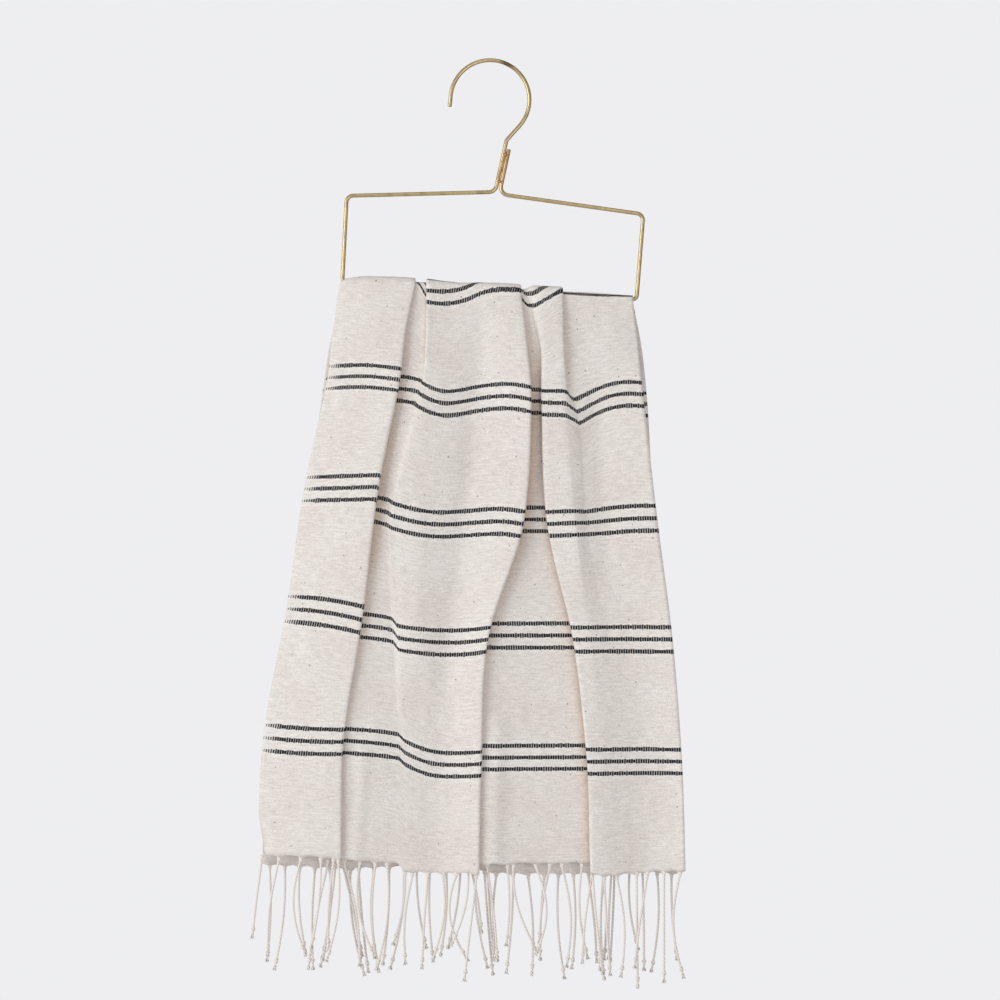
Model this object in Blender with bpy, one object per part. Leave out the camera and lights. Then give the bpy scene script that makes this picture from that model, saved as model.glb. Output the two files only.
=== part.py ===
"""Hand towel with knotted fringes, hung in half over the bar of a brass wire hanger.

The frame is in metres with +Z up. Its origin is the underside of the hook's crown, where the
hanger bears on whatever holds it up. +X runs to the right and -Y is the front. Sizes in the
tables are millimetres: "across" and "edge" are X, "fall" is the distance below the origin,
and "lift" is how far a fold stands out from the cloth that lies nearest to the bar.
"""
import math
from typing import NamedTuple

import bmesh
import bpy
from mathutils import Vector

MM = 0.001

# Brass wire hanger, bent from one length of wire
WIRE_DIAMETER = 3.4
HOOK_OUTSIDE = 71.4
HOOK_CENTRE_ACROSS = -1.3
HOOK_TAIL = 6.0
HOOK_TAIL_OUT = 0.8
HOOK_LEAVES_AT = 42.0
HOOK_STEPS = 22
CORNER_STEPS = 5
HANGER_TILT = 3.4
BAR_LEFT = -128.4
BAR_RIGHT = 124.9
BAR_FALL_AT_ORIGIN = 197.1
STEM_APART = 3.8
STEM_SLOPE = 0.217
STEM_FOOT = (4.7, 105.0)
STEM_TOP_FALL = 75.0
BEAD_RADIUS = 1.2
BEAD_GAP = 0.3

# Cloth
CLOTH_LENGTH = 1010.0
CLOTH_THICK = 1.2
GAP_TO_WIRE = 0.5
TURN_SHOULDER = 1.1
TURN_FALL_SHARE = 0.2
PLEAT_POINTS = 9
BAR_STACK = 2.0

# Fringe
STRAND_THICK = 2.0
KNOT_THICK = 4.0
KNOT_LONG = 6.0
TUFT_SHARE = 0.8
STRIP_HEIGHT = 2.0
STRIP_GAP = 0.5
STEEP_GAP = 1.0
STEEPEST = 2.5
ROOT_MOVE = 0.4
ROOT_MOVES = 21
STRAND_SHARES = (0.12, 0.3, 0.5, 0.7)
STRAND_LAYERS = (0.0, 2.6, 5.2, -2.0, 7.8, 10.4)
STRAND_CLEAR = 0.1
SPACE_STEPS = 24
LEAN_CURVE = 1.3

REST_ON_WIRE = WIRE_DIAMETER / 2 + GAP_TO_WIRE + CLOTH_THICK / 2


class Line(NamedTuple):
    """A warp line of a panel: one value for each section, from the bar to the hem."""

    name: str
    across: tuple
    lift: tuple
    fall: tuple


class Pleat(NamedTuple):
    """A pleat whose edge shows, with its tuck behind: one value for each section.

    depth is how far the tuck runs back behind the edge, and less than 0 where the pleat has
    opened to a slope. foot is the lift of the layer that comes out from under the edge, turn
    is that of the hidden turn, and apart is the space between the layers at both turns. faces
    is 1 where the edge is on the pleat's right and -1 where it is on its left.
    """

    name: str
    faces: int
    edge: tuple
    depth: tuple
    lift: tuple
    foot: tuple
    turn: tuple
    apart: tuple
    fall_left: tuple
    fall_right: tuple


# Sections down each half: bar, yoke, the four stripe groups and the hem
SECTION_WOVEN = (0.0, 46.0, 96.0, 198.0, 299.0, 401.0, 500.0)
YOKE_SHARE = 0.48

FOLDS = (
    Line("left selvedge", (-124, -136, -141, -161, -176, -196, -201),
         (0, 1, 2, 2, 3, 3, 3), (272, 368, 470, 581, 683)),
    Line("left panel", (-109, -108, -110, -129, -143, -162, -165),
         (4, 6, 7.5, 8.5, 9, 8.5, 8.5), (270, 367, 472, 584, 682)),
    Pleat("pleat A", 1, (-66, -74, -79, -97, -111, -127, -129), (41, 38, 35, 33, 27, 19, 17),
          (4, 8, 11, 13, 13, 12, 11.5), (0, 0.5, 1, 2, 6, 7.2, 7.2), (0, 0.5, 1, 1, 2, 2, 2),
          (2, 2.5, 3, 3, 2.6, 2.4, 2.4), (274, 366, 479, 584, 684), (281, 385, 484, 583, 685)),
    Line("strip beside A", (-62.5, -66, -72, -93, -99, -100, -101),
         (0.8, 2.5, 4, 4, 6, 6.6, 6.6), (282, 387, 485.5, 585, 687)),
    Pleat("pleat D", -1, (-55.5, -55.5, -60, -85, -80.5, -74, -75), (8, 4, -3, -4, -5, -6, -6),
          (4, 7.5, 9, 9, 7.5, 4.8, 4.8), (0.5, 2.5, 5.5, 5.5, 5, 5, 5), (0.5, 2.5, 0, 0, 0, 0, 0),
          (1.6, 2, 1, 1, 1, 1, 1), (284, 388, 488, 588, 689), (287, 391, 495, 594, 696)),
    Line("dip", (-38, -40, -41, -52, -55, -58, -60),
         (2.5, 5, 7.5, 8, 7.5, 4, 4), (297, 400, 498.5, 602, 697)),
    Line("valley", (-20, -17, -12, -18, -33, -42, -44),
         (2.2, 3.2, 2.8, 2.8, 2, 1.6, 2), (289, 397, 499.5, 605, 698)),
    Line("rise", (-6, 8, 15, 8, -14, -22, -24),
         (4.2, 6.5, 8, 8.5, 8, 7.5, 7.5), (287, 395, 498, 604, 697)),
    Pleat("pleat B", 1, (25, 30, 34, 27, -3, -9, -11), (34, 34, 32, 30, 20, 16, 14),
          (4, 9, 13, 13, 12, 11, 11), (0, 0.5, 0.5, 0.5, 5, 6.8, 6.8),
          (0, 0.5, 0.5, 0.5, 0.5, 0.5, 0.5), (2, 2.5, 3, 3, 2.6, 2.4, 2.5),
          (291, 398, 496, 603, 698), (292, 394, 493, 598, 690)),
    Line("recess", (28, 34, 39, 39, 31, 29, 29),
         (0, 0.8, 0.5, 0.5, 2.5, 4, 4), (292, 394, 493, 598, 689)),
    Pleat("pleat C", -1, (36, 43, 43, 48, 70, 82, 85), (-6, -1, 12, 11, 13, 13, 14),
          (3.9, 8.5, 9.5, 9.5, 11, 11.5, 11.5), (0.3, 1, 0.8, 1, 1.5, 2, 2),
          (0.3, 1, 0.8, 1, 1, 1.5, 1.5), (1, 2, 3, 3, 3, 3, 3),
          (292, 394, 493, 598, 689), (293.5, 398, 496, 601, 698)),
    Pleat("pleat E", 1, (61, 62, 63, 70, 84, 94, 96), (19, 11, -11, -12, -16, -20, -20),
          (4, 9, 10.5, 11.5, 11, 11, 11), (0, 2, 5.5, 6, 7.5, 7.5, 7.5), (0, 1, 0, 0, 0, 0, 0),
          (2, 2.4, 1, 1, 1, 1, 1), (294, 397, 496, 601, 699), (302, 397, 496, 601, 698)),
    Line("right panel", (92, 95, 93, 101, 119, 128, 128),
         (0.5, 3, 3.5, 4.5, 5, 5, 5), (290, 395, 496, 601, 697)),
    Line("right rim", (109, 114, 112, 122, 138, 149, 151),
         (0.3, 3.5, 6, 7, 7, 6.5, 6.5), (285, 393, 496, 601, 695)),
    Line("right selvedge", (121.5, 126, 130, 142, 155, 163, 166),
         (0, 2, 8.5, 10, 10.5, 11, 11.5), (286.5, 393, 496, 601, 695)),
)


class Strand(NamedTuple):
    """One cord of a fringe, in millimetres.

    shift moves its root along the hem, lean is how far its end hangs to the right of the
    root, bow how far its middle stands to the right, and length its drop with knot and tuft.
    """

    shift: float
    lean: float
    bow: float
    length: float


FRONT_STRANDS = (
    Strand(-3, -8, -1, 67), Strand(-1, -9.5, -4, 82), Strand(5, 4, -8, 82),
    Strand(9, -8, 1.5, 74), Strand(6, -4, -2.5, 76), Strand(0, -9.5, 4, 84),
    Strand(0, -17, -3, 92), Strand(0, -6, 3, 84), Strand(0, 13, 5, 88),
    Strand(0, 13, -6, 80), Strand(0, 3, -4, 92), Strand(-3, -9, 4, 88),
    Strand(1, -10, 2, 60), Strand(-5, -6, -4, 76), Strand(-5, -5, -1, 79),
    Strand(-6, -8, 4, 70), Strand(-7, 10, -9, 72), Strand(-3, -10, -1, 88),
    Strand(0, -14, 3, 62), Strand(0, 9, 2, 56), Strand(1, 8.5, 2, 80),
    Strand(5, -1, 2, 67), Strand(-3, 20, -4, 72), Strand(3, 0, 9, 74),
    Strand(2, -9, -3, 66), Strand(-1, 4, 6, 86), Strand(3, 5, -4, 79),
    Strand(0, -10, -3, 82), Strand(0, -4, -2, 86), Strand(0, 8.5, 0, 84),
    Strand(3, 5, 0, 82), Strand(0, 3.5, 5, 84), Strand(4, 1, 0, 95),
    Strand(0, -11, -2, 78), Strand(2, 0, 0, 92), Strand(2, 3, -7, 88),
)

# The back hem's cords hang towards these places across
GATHERED = (-196.0, -156.0, -99.0, -48.0, 7.0, 38.0, 68.0, 98.0, 133.0, 165.0)
GATHERED_SHARE = 0.5
BACK_STRAND_LENGTH = 80.0
BACK_STRAND_UNEVEN = 9.0
BACK_STRAND_BOW = 3.0

# The back half hangs flatter, its folds a little to the right, and is drawn up at the right
BACK_LIFT = (1.0, 0.95, 0.92, 0.88, 0.85, 0.85, 0.85)
BACK_SHIFT = (0.0, 3.0, 6.0, 9.0, 12.0, 14.0, 14.0)
BACK_LEFT_EDGE = (0.0, -2.0, -5.0, 1.0, 2.0, 3.0, 3.0)
BACK_RIGHT_EDGE = (0.0, 4.0, 5.0, -1.0, -2.0, -3.0, -4.0)
BACK_DRAWN_UP = 8.0

ROWS_FRONT = (1, 2, 4, 4, 4, 4)
ROWS_BACK = (1, 2, 3, 3, 3, 3)
ROWS_OVER_BAR = 4


def material(name, colour, roughness, metallic=0.0):
    """Make a Principled material from a linear colour, a roughness and a metallic value."""
    made = bpy.data.materials.new(name)
    made.use_nodes = True
    shader = made.node_tree.nodes["Principled BSDF"]
    shader.inputs["Base Color"].default_value = (*colour, 1.0)
    shader.inputs["Roughness"].default_value = roughness
    shader.inputs["Metallic"].default_value = metallic
    return made


def place(x, y, fall):
    """Turn millimetres across, towards the back and below the origin into a point."""
    return Vector((x * MM, y * MM, -fall * MM))


def bar_fall(x):
    """Fall of the bar's axis at x, along the tilt of the hanger."""
    return BAR_FALL_AT_ORIGIN + x * math.tan(math.radians(HANGER_TILT))


def add_object(name, mesh, finish):
    """Link a mesh as an object, smooth-shaded over its gentle angles."""
    mesh.materials.append(finish)
    mesh.shade_smooth()
    mesh.set_sharp_from_angle(angle=math.radians(50))
    made = bpy.data.objects.new(name, mesh)
    bpy.context.scene.collection.objects.link(made)
    return made


def rounded_corner(before, corner, after, radius):
    """Points of the arc that rounds one corner of a bent wire."""
    back = (before - corner).normalized()
    ahead = (after - corner).normalized()
    half = back.angle(ahead) / 2
    start = corner + back * radius / math.tan(half)
    end = corner + ahead * radius / math.tan(half)
    centre = corner + (back + ahead).normalized() * radius / math.sin(half)
    arc = []
    for step in range(CORNER_STEPS + 1):
        spoke = (start - centre).slerp(end - centre, step / CORNER_STEPS)
        arc.append(centre + spoke.normalized() * radius)
    return arc


def stem_across(fall):
    """X of the neck's left stem at a given fall."""
    return STEM_FOOT[0] + STEM_SLOPE * (STEM_FOOT[1] - fall)


def hanger_route():
    """Centre line of the wire, from the hook's tip round the frame to the second stem."""
    radius = (HOOK_OUTSIDE - WIRE_DIAMETER) / 2
    centre = place(HOOK_CENTRE_ACROSS, 0, radius - WIRE_DIAMETER / 2)
    route = [centre + place(-radius - HOOK_TAIL_OUT, 0, HOOK_TAIL)]
    for step in range(HOOK_STEPS + 1):
        turn = math.radians(180 - (180 + HOOK_LEAVES_AT) * step / HOOK_STEPS)
        route.append(centre + place(radius * math.cos(turn), 0, -radius * math.sin(turn)))
    second_stem = STEM_APART * math.hypot(1, STEM_SLOPE)
    corners = (
        (place(12.9, 0, 67.4), 6.0),
        (place(3.2, 0, 111.8), 7.0),
        (place(-124.6, 0, 115.1), 6.0),
        (place(BAR_LEFT, 0, bar_fall(BAR_LEFT)), 4.0),
        (place(BAR_RIGHT, 0, bar_fall(BAR_RIGHT)), 4.0),
        (place(130.8, 0, 131.0), 6.0),
        (place(stem_across(113.6) + second_stem, 0, 113.6), 7.0),
    )
    stem_top = place(stem_across(STEM_TOP_FALL) + second_stem, 0, STEM_TOP_FALL)
    stops = [route[-1]] + [corner for corner, _ in corners] + [stem_top]
    for index, (corner, radius) in enumerate(corners):
        route += rounded_corner(stops[index], corner, stops[index + 2], radius * MM)
    route.append(stem_top)
    return route


def build_hanger(finish):
    """The hanger: one round wire swept along its bent route."""
    data = bpy.data.curves.new("hanger_wire", "CURVE")
    data.dimensions = "3D"
    data.bevel_depth = WIRE_DIAMETER / 2 * MM
    data.bevel_resolution = 2
    data.use_fill_caps = True
    route = hanger_route()
    spline = data.splines.new("POLY")
    spline.points.add(len(route) - 1)
    for point, spot in zip(spline.points, route):
        point.co = (*spot, 1.0)
    data.materials.append(finish)
    made = bpy.data.objects.new("hanger_wire", data)
    bpy.context.scene.collection.objects.link(made)
    return made


def build_bead(name, fall, finish):
    """A bead of braze in the groove between the two stems, on the front."""
    reach = WIRE_DIAMETER / 2 + BEAD_GAP + BEAD_RADIUS
    forward = math.sqrt(reach ** 2 - (STEM_APART / 2) ** 2)
    across = stem_across(fall) + STEM_APART * math.hypot(1, STEM_SLOPE) / 2
    form = bmesh.new()
    bmesh.ops.create_uvsphere(form, u_segments=8, v_segments=6, radius=BEAD_RADIUS * MM)
    bmesh.ops.translate(form, verts=form.verts, vec=place(across, -forward, fall))
    mesh = bpy.data.meshes.new(name)
    form.to_mesh(mesh)
    form.free()
    return add_object(name, mesh, finish)


def section_falls(across, falls):
    """Falls of a line at all sections: the bar's axis, the yoke, then the table's own."""
    at_bar = bar_fall(across[0])
    yoke = at_bar + (falls[0] - at_bar) * YOKE_SHARE
    return (at_bar, yoke) + tuple(falls)


def turn_points(before, corner, corner_after, after, apart):
    """Two corners of a turn with a shoulder on each side, which keeps the turn round."""
    reach = TURN_SHOULDER * max(apart, 1.0)
    first = corner + (before - corner).normalized() * reach
    last = corner_after + (after - corner_after).normalized() * reach
    return [first, corner, corner_after, last]


def pleat_points(pleat, k, before, after):
    """Control points (across, lift, fall) of a pleat at section k, from left to right."""
    left = section_falls(pleat.edge, pleat.fall_left)[k]
    right = section_falls(pleat.edge, pleat.fall_right)[k]
    apart = pleat.apart[k]
    edge = pleat.edge[k]
    tuck = edge - pleat.faces * pleat.depth[k]
    over, under = (left, right) if pleat.faces > 0 else (right, left)
    change = (under - over) * TURN_FALL_SHARE
    top = Vector((edge, pleat.lift[k], over))
    top_back = Vector((edge, pleat.lift[k] - apart, over + change))
    tuck_back = Vector((tuck, pleat.turn[k] + apart, under - change))
    tuck_front = Vector((tuck, pleat.turn[k], under))
    foot = Vector((edge - pleat.faces * apart, pleat.foot[k], under))
    if pleat.depth[k] < 0:
        foot.x = tuck
        points = [top.lerp(foot, n / (PLEAT_POINTS - 1)) for n in range(PLEAT_POINTS)]
    else:
        outer = before if pleat.faces > 0 else after
        points = turn_points(outer, top, top_back, tuck_back, apart)
        points += turn_points(top_back, tuck_back, tuck_front, foot, apart)
        points.append(foot)
    return points if pleat.faces > 0 else points[::-1]


def line_point(line, k):
    """Control point (across, lift, fall) of a panel's line at section k."""
    return Vector((line.across[k], line.lift[k], section_falls(line.across, line.fall)[k]))


def near_point(fold, k):
    """The point of a neighbouring fold that a pleat's top layer runs towards."""
    if isinstance(fold, Line):
        return line_point(fold, k)
    return Vector((fold.edge[k], fold.lift[k], section_falls(fold.edge, fold.fall_left)[k]))


def front_section(k):
    """Control points of the front half at section k, from selvedge to selvedge."""
    points = []
    for index, fold in enumerate(FOLDS):
        if isinstance(fold, Line):
            points.append(line_point(fold, k))
        else:
            before = near_point(FOLDS[index - 1], k)
            after = near_point(FOLDS[index + 1], k)
            points += pleat_points(fold, k, before, after)
    if k == 0:
        for point in points:
            point.z = bar_fall(point.x)
    return points


def back_section(k, front_grid):
    """Control points of the back half at section k: the front's folds, flatter and moved."""
    points = []
    left, right = front_grid[k][0].x, front_grid[k][-1].x
    for c, front in enumerate(front_grid[k]):
        share = (front.x - left) / (right - left)
        shift = 4 * share * (1 - share) * BACK_SHIFT[k]
        shift += (1 - share) ** 4 * BACK_LEFT_EDGE[k] + share ** 4 * BACK_RIGHT_EDGE[k]
        at_bar, hem = front_grid[0][c], front_grid[-1][c]
        axis = bar_fall(at_bar.x)
        wrap = math.pi * (REST_ON_WIRE + BAR_STACK)
        hidden = CLOTH_LENGTH - (hem.z - axis) - wrap
        fall = axis + hidden * SECTION_WOVEN[k] / SECTION_WOVEN[-1]
        fall -= BACK_DRAWN_UP * share ** 2 * k / (len(SECTION_WOVEN) - 1)
        points.append(Vector((front.x + shift, front.y * BACK_LIFT[k], fall)))
    return points


FRONT = [front_section(k) for k in range(len(SECTION_WOVEN))]
BACK = [back_section(k, FRONT) for k in range(len(SECTION_WOVEN))]


def along_sections(grid, where):
    """Control points at a fractional section number, on a smooth curve down each line."""
    k = min(int(where), len(grid) - 2)
    t = where - k
    span = SECTION_WOVEN[k + 1] - SECTION_WOVEN[k]

    def slope(at, c):
        low = max(at - 1, 0)
        high = min(at + 1, len(grid) - 1)
        return (grid[high][c] - grid[low][c]) / (SECTION_WOVEN[high] - SECTION_WOVEN[low])

    h00 = (1 + 2 * t) * (1 - t) ** 2
    h10 = t * (1 - t) ** 2
    h01 = t * t * (3 - 2 * t)
    h11 = t * t * (t - 1)
    return [
        grid[k][c] * h00 + slope(k, c) * span * h10
        + grid[k + 1][c] * h01 + slope(k + 1, c) * span * h11
        for c in range(len(grid[k]))
    ]


def across_controls(controls, where):
    """Point of a uniform cubic B-spline through the controls, at a fractional number."""
    padded = [controls[0] * 2 - controls[1]] + controls + [controls[-1] * 2 - controls[-2]]
    i = min(int(where), len(controls) - 2)
    t = where - i
    a, b, c, d = padded[i:i + 4]
    return (a * (1 - t) ** 3 + b * (3 * t ** 3 - 6 * t * t + 4)
            + c * (-3 * t ** 3 + 3 * t * t + 3 * t + 1) + d * t ** 3) / 6


def hanging(point, side):
    """World point of a section point on the front half (side -1) or the back half (1)."""
    return place(point.x, side * (REST_ON_WIRE + point.y), point.z)


def over_bar(point, angle):
    """World point of a bar section's point where it passes over the wire at an angle."""
    reach = REST_ON_WIRE + point.y
    return place(point.x, math.sin(angle) * reach, point.z - math.cos(angle) * reach)


def row_places(counts):
    """Fractional section numbers of the rows below the bar, from the bar down."""
    return [k + (n + 1) / count for k, count in enumerate(counts) for n in range(count)]


def towel_rows():
    """All rows of the sheet's middle surface, from the back hem over the bar to the front."""
    columns = len(FRONT[0])
    rows = []
    for where in reversed(row_places(ROWS_BACK)):
        controls = along_sections(BACK, where)
        rows.append([hanging(across_controls(controls, c), 1) for c in range(columns)])
    for step in range(ROWS_OVER_BAR + 1):
        angle = math.pi / 2 - math.pi * step / ROWS_OVER_BAR
        rows.append([over_bar(across_controls(FRONT[0], c), angle) for c in range(columns)])
    for where in row_places(ROWS_FRONT):
        controls = along_sections(FRONT, where)
        rows.append([hanging(across_controls(controls, c), -1) for c in range(columns)])
    return rows


def build_towel(finish):
    """The towel: one sheet of cloth, front half, turn over the bar and back half."""
    rows = towel_rows()
    form = bmesh.new()
    grid = [[form.verts.new(spot) for spot in row] for row in rows]
    for upper, lower in zip(grid, grid[1:]):
        for c in range(len(upper) - 1):
            form.faces.new((upper[c], lower[c], lower[c + 1], upper[c + 1]))
    mesh = bpy.data.meshes.new("towel_cloth")
    form.to_mesh(mesh)
    form.free()
    made = add_object("towel_cloth", mesh, finish)
    thick = made.modifiers.new("thickness", "SOLIDIFY")
    thick.thickness = CLOTH_THICK * MM
    thick.offset = 0.0
    return made


def hem_path(grid, side):
    """The hem's middle line as the cloth's columns make it, with its length so far at each."""
    controls = grid[-1]
    path = []
    length = 0.0
    for c in range(len(controls)):
        spot = hanging(across_controls(controls, c), side)
        if path:
            length += (spot - path[-1][1]).length
        path.append((length, spot))
    return path


def spot_at(path, length):
    """Point of a hem's middle line at a length along it."""
    length = min(max(length, 0.0), path[-1][0])
    for (low, start), (high, end) in zip(path, path[1:]):
        if length <= high:
            return start.lerp(end, (length - low) / (high - low))
    return path[-1][1]


def frame_at(path, length):
    """Where a hem is at a length along it.

    Gives the point of its middle line, the level direction along it, the level direction
    across it, and how much longer the hem is there than its level run.
    """
    step = CLOTH_THICK / 2 * MM
    along = spot_at(path, length + step) - spot_at(path, length - step)
    level = Vector((along.x, along.y, 0))
    tangent = level.normalized()
    steep = min(along.length / level.length, STEEPEST)
    return spot_at(path, length), tangent, Vector((-tangent.y, tangent.x, 0)), steep


def clear_start(start, root, bends):
    """Move a strand's start along the hem, a little, to a flat stretch between two bends."""
    margin = STRIP_GAP * MM
    for step in range(ROOT_MOVES):
        moved = start + (step + 1) // 2 * (-1) ** step * ROOT_MOVE * MM
        if not any(moved - margin < bend < moved + root + margin for bend in bends):
            return moved
    return start


def strip_stations(path, strands):
    """Lengths along the hem where the strip has a cross-section, and those that start strands."""
    root = STRAND_THICK * MM
    pitch = path[-1][0] / len(strands)
    bends = [length for length, _ in path]
    starts = []
    for n, strand in enumerate(strands):
        middle = pitch * (n + 0.5) + strand.shift * MM
        starts.append(clear_start(middle - root / 2, root, bends))
    stations = sorted(bends + starts + [start + root for start in starts])
    return stations, [stations.index(start) for start in starts]


def back_strands():
    """The back hem's cords, each leaning half of the way to the nearest gathering place."""
    path = hem_path(BACK, 1)
    count = len(FRONT_STRANDS)
    strands = []
    for n in range(count):
        root = spot_at(path, path[-1][0] * (n + 0.5) / count).x / MM
        lean = (min(GATHERED, key=lambda place: abs(place - root)) - root) * GATHERED_SHARE
        bow = BACK_STRAND_BOW * math.sin(n * 1.7 + 0.6)
        length = BACK_STRAND_LENGTH + BACK_STRAND_UNEVEN * math.sin(n * 2.3)
        strands.append(Strand(0, lean, bow, length))
    return strands


def strand_spot(root, strand, layer, share):
    """Middle of a strand at a share of its length: it drops, leans, bows and moves outwards."""
    across = strand.lean * share ** LEAN_CURVE + strand.bow * math.sin(math.pi * share)
    outwards = layer * math.sin(math.pi * min(share, 0.5))
    return root + place(across, outwards, strand.length * share)


def strand_rings(strand):
    """Shares of a strand's length where it has a cross-section, and its half widths there."""
    thin = STRAND_THICK / 2
    rings = [(share, thin) for share in STRAND_SHARES]
    rings.append((1 - KNOT_LONG / strand.length, thin))
    rings.append((1 - KNOT_LONG / 2 / strand.length, KNOT_THICK / 2))
    rings.append((1.0, thin * TUFT_SHARE))
    return rings


def strand_space(root, strand, layer):
    """Points down a strand, each with the radius of the space that it takes there."""
    space = []
    for n in range(SPACE_STEPS + 1):
        share = n / SPACE_STEPS
        half = STRAND_THICK / 2
        if strand.length * (1 - share) < KNOT_LONG:
            half = KNOT_THICK / 2
        space.append((strand_spot(root, strand, layer, share), half * math.sqrt(2) * MM))
    return space


def room_between(space, others):
    """Least gap between one strand's space and those of the strands already there."""
    return min(((spot - other).length - radius - other_radius
                for taken in others for other, other_radius in taken
                for spot, radius in space), default=1.0)


def build_fringe(name, grid, side, strands, finish):
    """A hem's fringe: strands with knotted ends, their roots fused into one narrow strip."""
    path = hem_path(grid, side)
    stations, strand_starts = strip_stations(path, strands)
    half = CLOTH_THICK / 2 * MM
    form = bmesh.new()
    rings = []
    frames = []
    for length in stations:
        spot, tangent, normal, steep = frame_at(path, length)
        top = -(STRIP_GAP * steep + STEEP_GAP * (steep - 1)) * MM
        bottom = top - STRIP_HEIGHT * MM
        frames.append((spot + Vector((0, 0, bottom)), tangent, normal))
        rings.append([form.verts.new(spot + normal * n * half + Vector((0, 0, z)))
                      for n, z in ((-1, top), (1, top), (1, bottom), (-1, bottom))])
    under = {}
    for i, (left, right) in enumerate(zip(rings, rings[1:])):
        for n in range(4):
            m = (n + 1) % 4
            face = form.faces.new((left[n], left[m], right[m], right[n]))
            if n == 2:
                under[i] = face
    form.faces.new(rings[0][::-1])
    form.faces.new(rings[-1])
    taken = []
    for strand, i in zip(strands, strand_starts):
        left, right = frames[i], frames[i + 1]
        root = (left[0] + right[0]) / 2
        layers = [layer * side for layer in STRAND_LAYERS]
        spaces = [strand_space(root, strand, layer) for layer in layers]
        rooms = [room_between(space, taken) for space in spaces]
        enough = [room for room in rooms if room > STRAND_CLEAR * MM]
        chosen = rooms.index(enough[0] if enough else max(rooms))
        taken.append(spaces[chosen])
        grow_strand(form, under[i], root, left[1], left[2], strand, layers[chosen])
    bmesh.ops.recalc_face_normals(form, faces=form.faces)
    mesh = bpy.data.meshes.new(name)
    form.to_mesh(mesh)
    form.free()
    return add_object(name, mesh, finish)


def grow_strand(form, face, root, tangent, normal, strand, layer):
    """Draw one strand out of its face of the strip, down to the knot at its end."""
    for share, half in strand_rings(strand):
        face = bmesh.ops.extrude_discrete_faces(form, faces=[face])["faces"][0]
        middle = face.calc_center_median()
        centre = strand_spot(root, strand, layer, share)
        for vert in face.verts:
            corner = vert.co - middle
            vert.co = centre + tangent * math.copysign(half * MM, corner.dot(tangent))
            vert.co += normal * math.copysign(half * MM, corner.dot(normal))


def main():
    """Build every piece of the hung towel."""
    for old in list(bpy.data.objects):
        bpy.data.objects.remove(old, do_unlink=True)
    brass = material("brass wire", (0.45, 0.33, 0.17), 0.32, 1.0)
    braze = material("braze bead", (0.60, 0.36, 0.20), 0.30, 1.0)
    cotton = material("handwoven cotton", (0.78, 0.73, 0.66), 0.95)
    build_hanger(brass)
    build_bead("braze_bead_upper", 80.0, braze)
    build_bead("braze_bead_lower", 103.0, braze)
    build_towel(cotton)
    build_fringe("fringe_front", FRONT, -1, FRONT_STRANDS, cotton)
    build_fringe("fringe_back", BACK, 1, back_strands(), cotton)


main()
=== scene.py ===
"""Looks of the fringed hand towel on its brass wire hanger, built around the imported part.

Everything is in the part's frame: metres, +Z up, the origin at the underside of the hook's
crown and -Y to the front. Sizes named in millimetres are turned to metres by MM.
"""
import logging
import math
from dataclasses import dataclass, field
from enum import Enum
from typing import NamedTuple, Union

import bmesh
import bpy
import numpy as np
from bmesh.types import BMesh
from bpy.types import Material, Mesh, Node, NodeSocket, NodeTree, Object
from mathutils import Matrix, Vector, noise


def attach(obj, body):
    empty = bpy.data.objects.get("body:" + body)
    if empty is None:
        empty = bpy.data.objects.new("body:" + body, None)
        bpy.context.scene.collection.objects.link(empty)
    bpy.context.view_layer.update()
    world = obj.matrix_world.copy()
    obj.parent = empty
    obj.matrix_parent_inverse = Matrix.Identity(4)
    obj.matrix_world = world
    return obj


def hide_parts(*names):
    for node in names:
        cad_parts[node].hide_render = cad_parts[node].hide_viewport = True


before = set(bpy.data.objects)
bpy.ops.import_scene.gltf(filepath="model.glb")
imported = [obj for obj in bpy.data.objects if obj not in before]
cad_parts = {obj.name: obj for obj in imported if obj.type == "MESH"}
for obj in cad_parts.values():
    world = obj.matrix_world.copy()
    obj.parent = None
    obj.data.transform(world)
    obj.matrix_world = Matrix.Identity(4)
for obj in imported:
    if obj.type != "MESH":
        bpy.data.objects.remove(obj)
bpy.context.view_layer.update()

logging.basicConfig(level=logging.INFO, format="%(message)s")
log = logging.getLogger("hand_towel")

MM = 0.001
BODY = "root"


class Side(Enum):
    """The two halves of the hung towel: the sign is that of their Y."""

    FRONT = -1
    BACK = 1


class Line(NamedTuple):
    """A warp line of a panel: one value for each section, from the bar to the hem."""

    name: str
    across: tuple
    lift: tuple
    fall: tuple


class Pleat(NamedTuple):
    """A pleat whose edge shows, with its tuck behind: one value for each section.

    depth is how far the tuck runs back behind the edge, and less than 0 where the pleat has
    opened to a slope. foot is the lift of the layer that comes out from under the edge, turn
    is that of the hidden turn, and apart is the space between the layers at both turns. faces
    is 1 where the edge is on the pleat's right and -1 where it is on its left.
    """

    name: str
    faces: int
    edge: tuple
    depth: tuple
    lift: tuple
    foot: tuple
    turn: tuple
    apart: tuple
    fall_left: tuple
    fall_right: tuple


Fold = Union[Line, Pleat]
NodeOrSocket = Union[Node, NodeSocket]
Colour = Union[str, tuple, Node]

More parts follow.
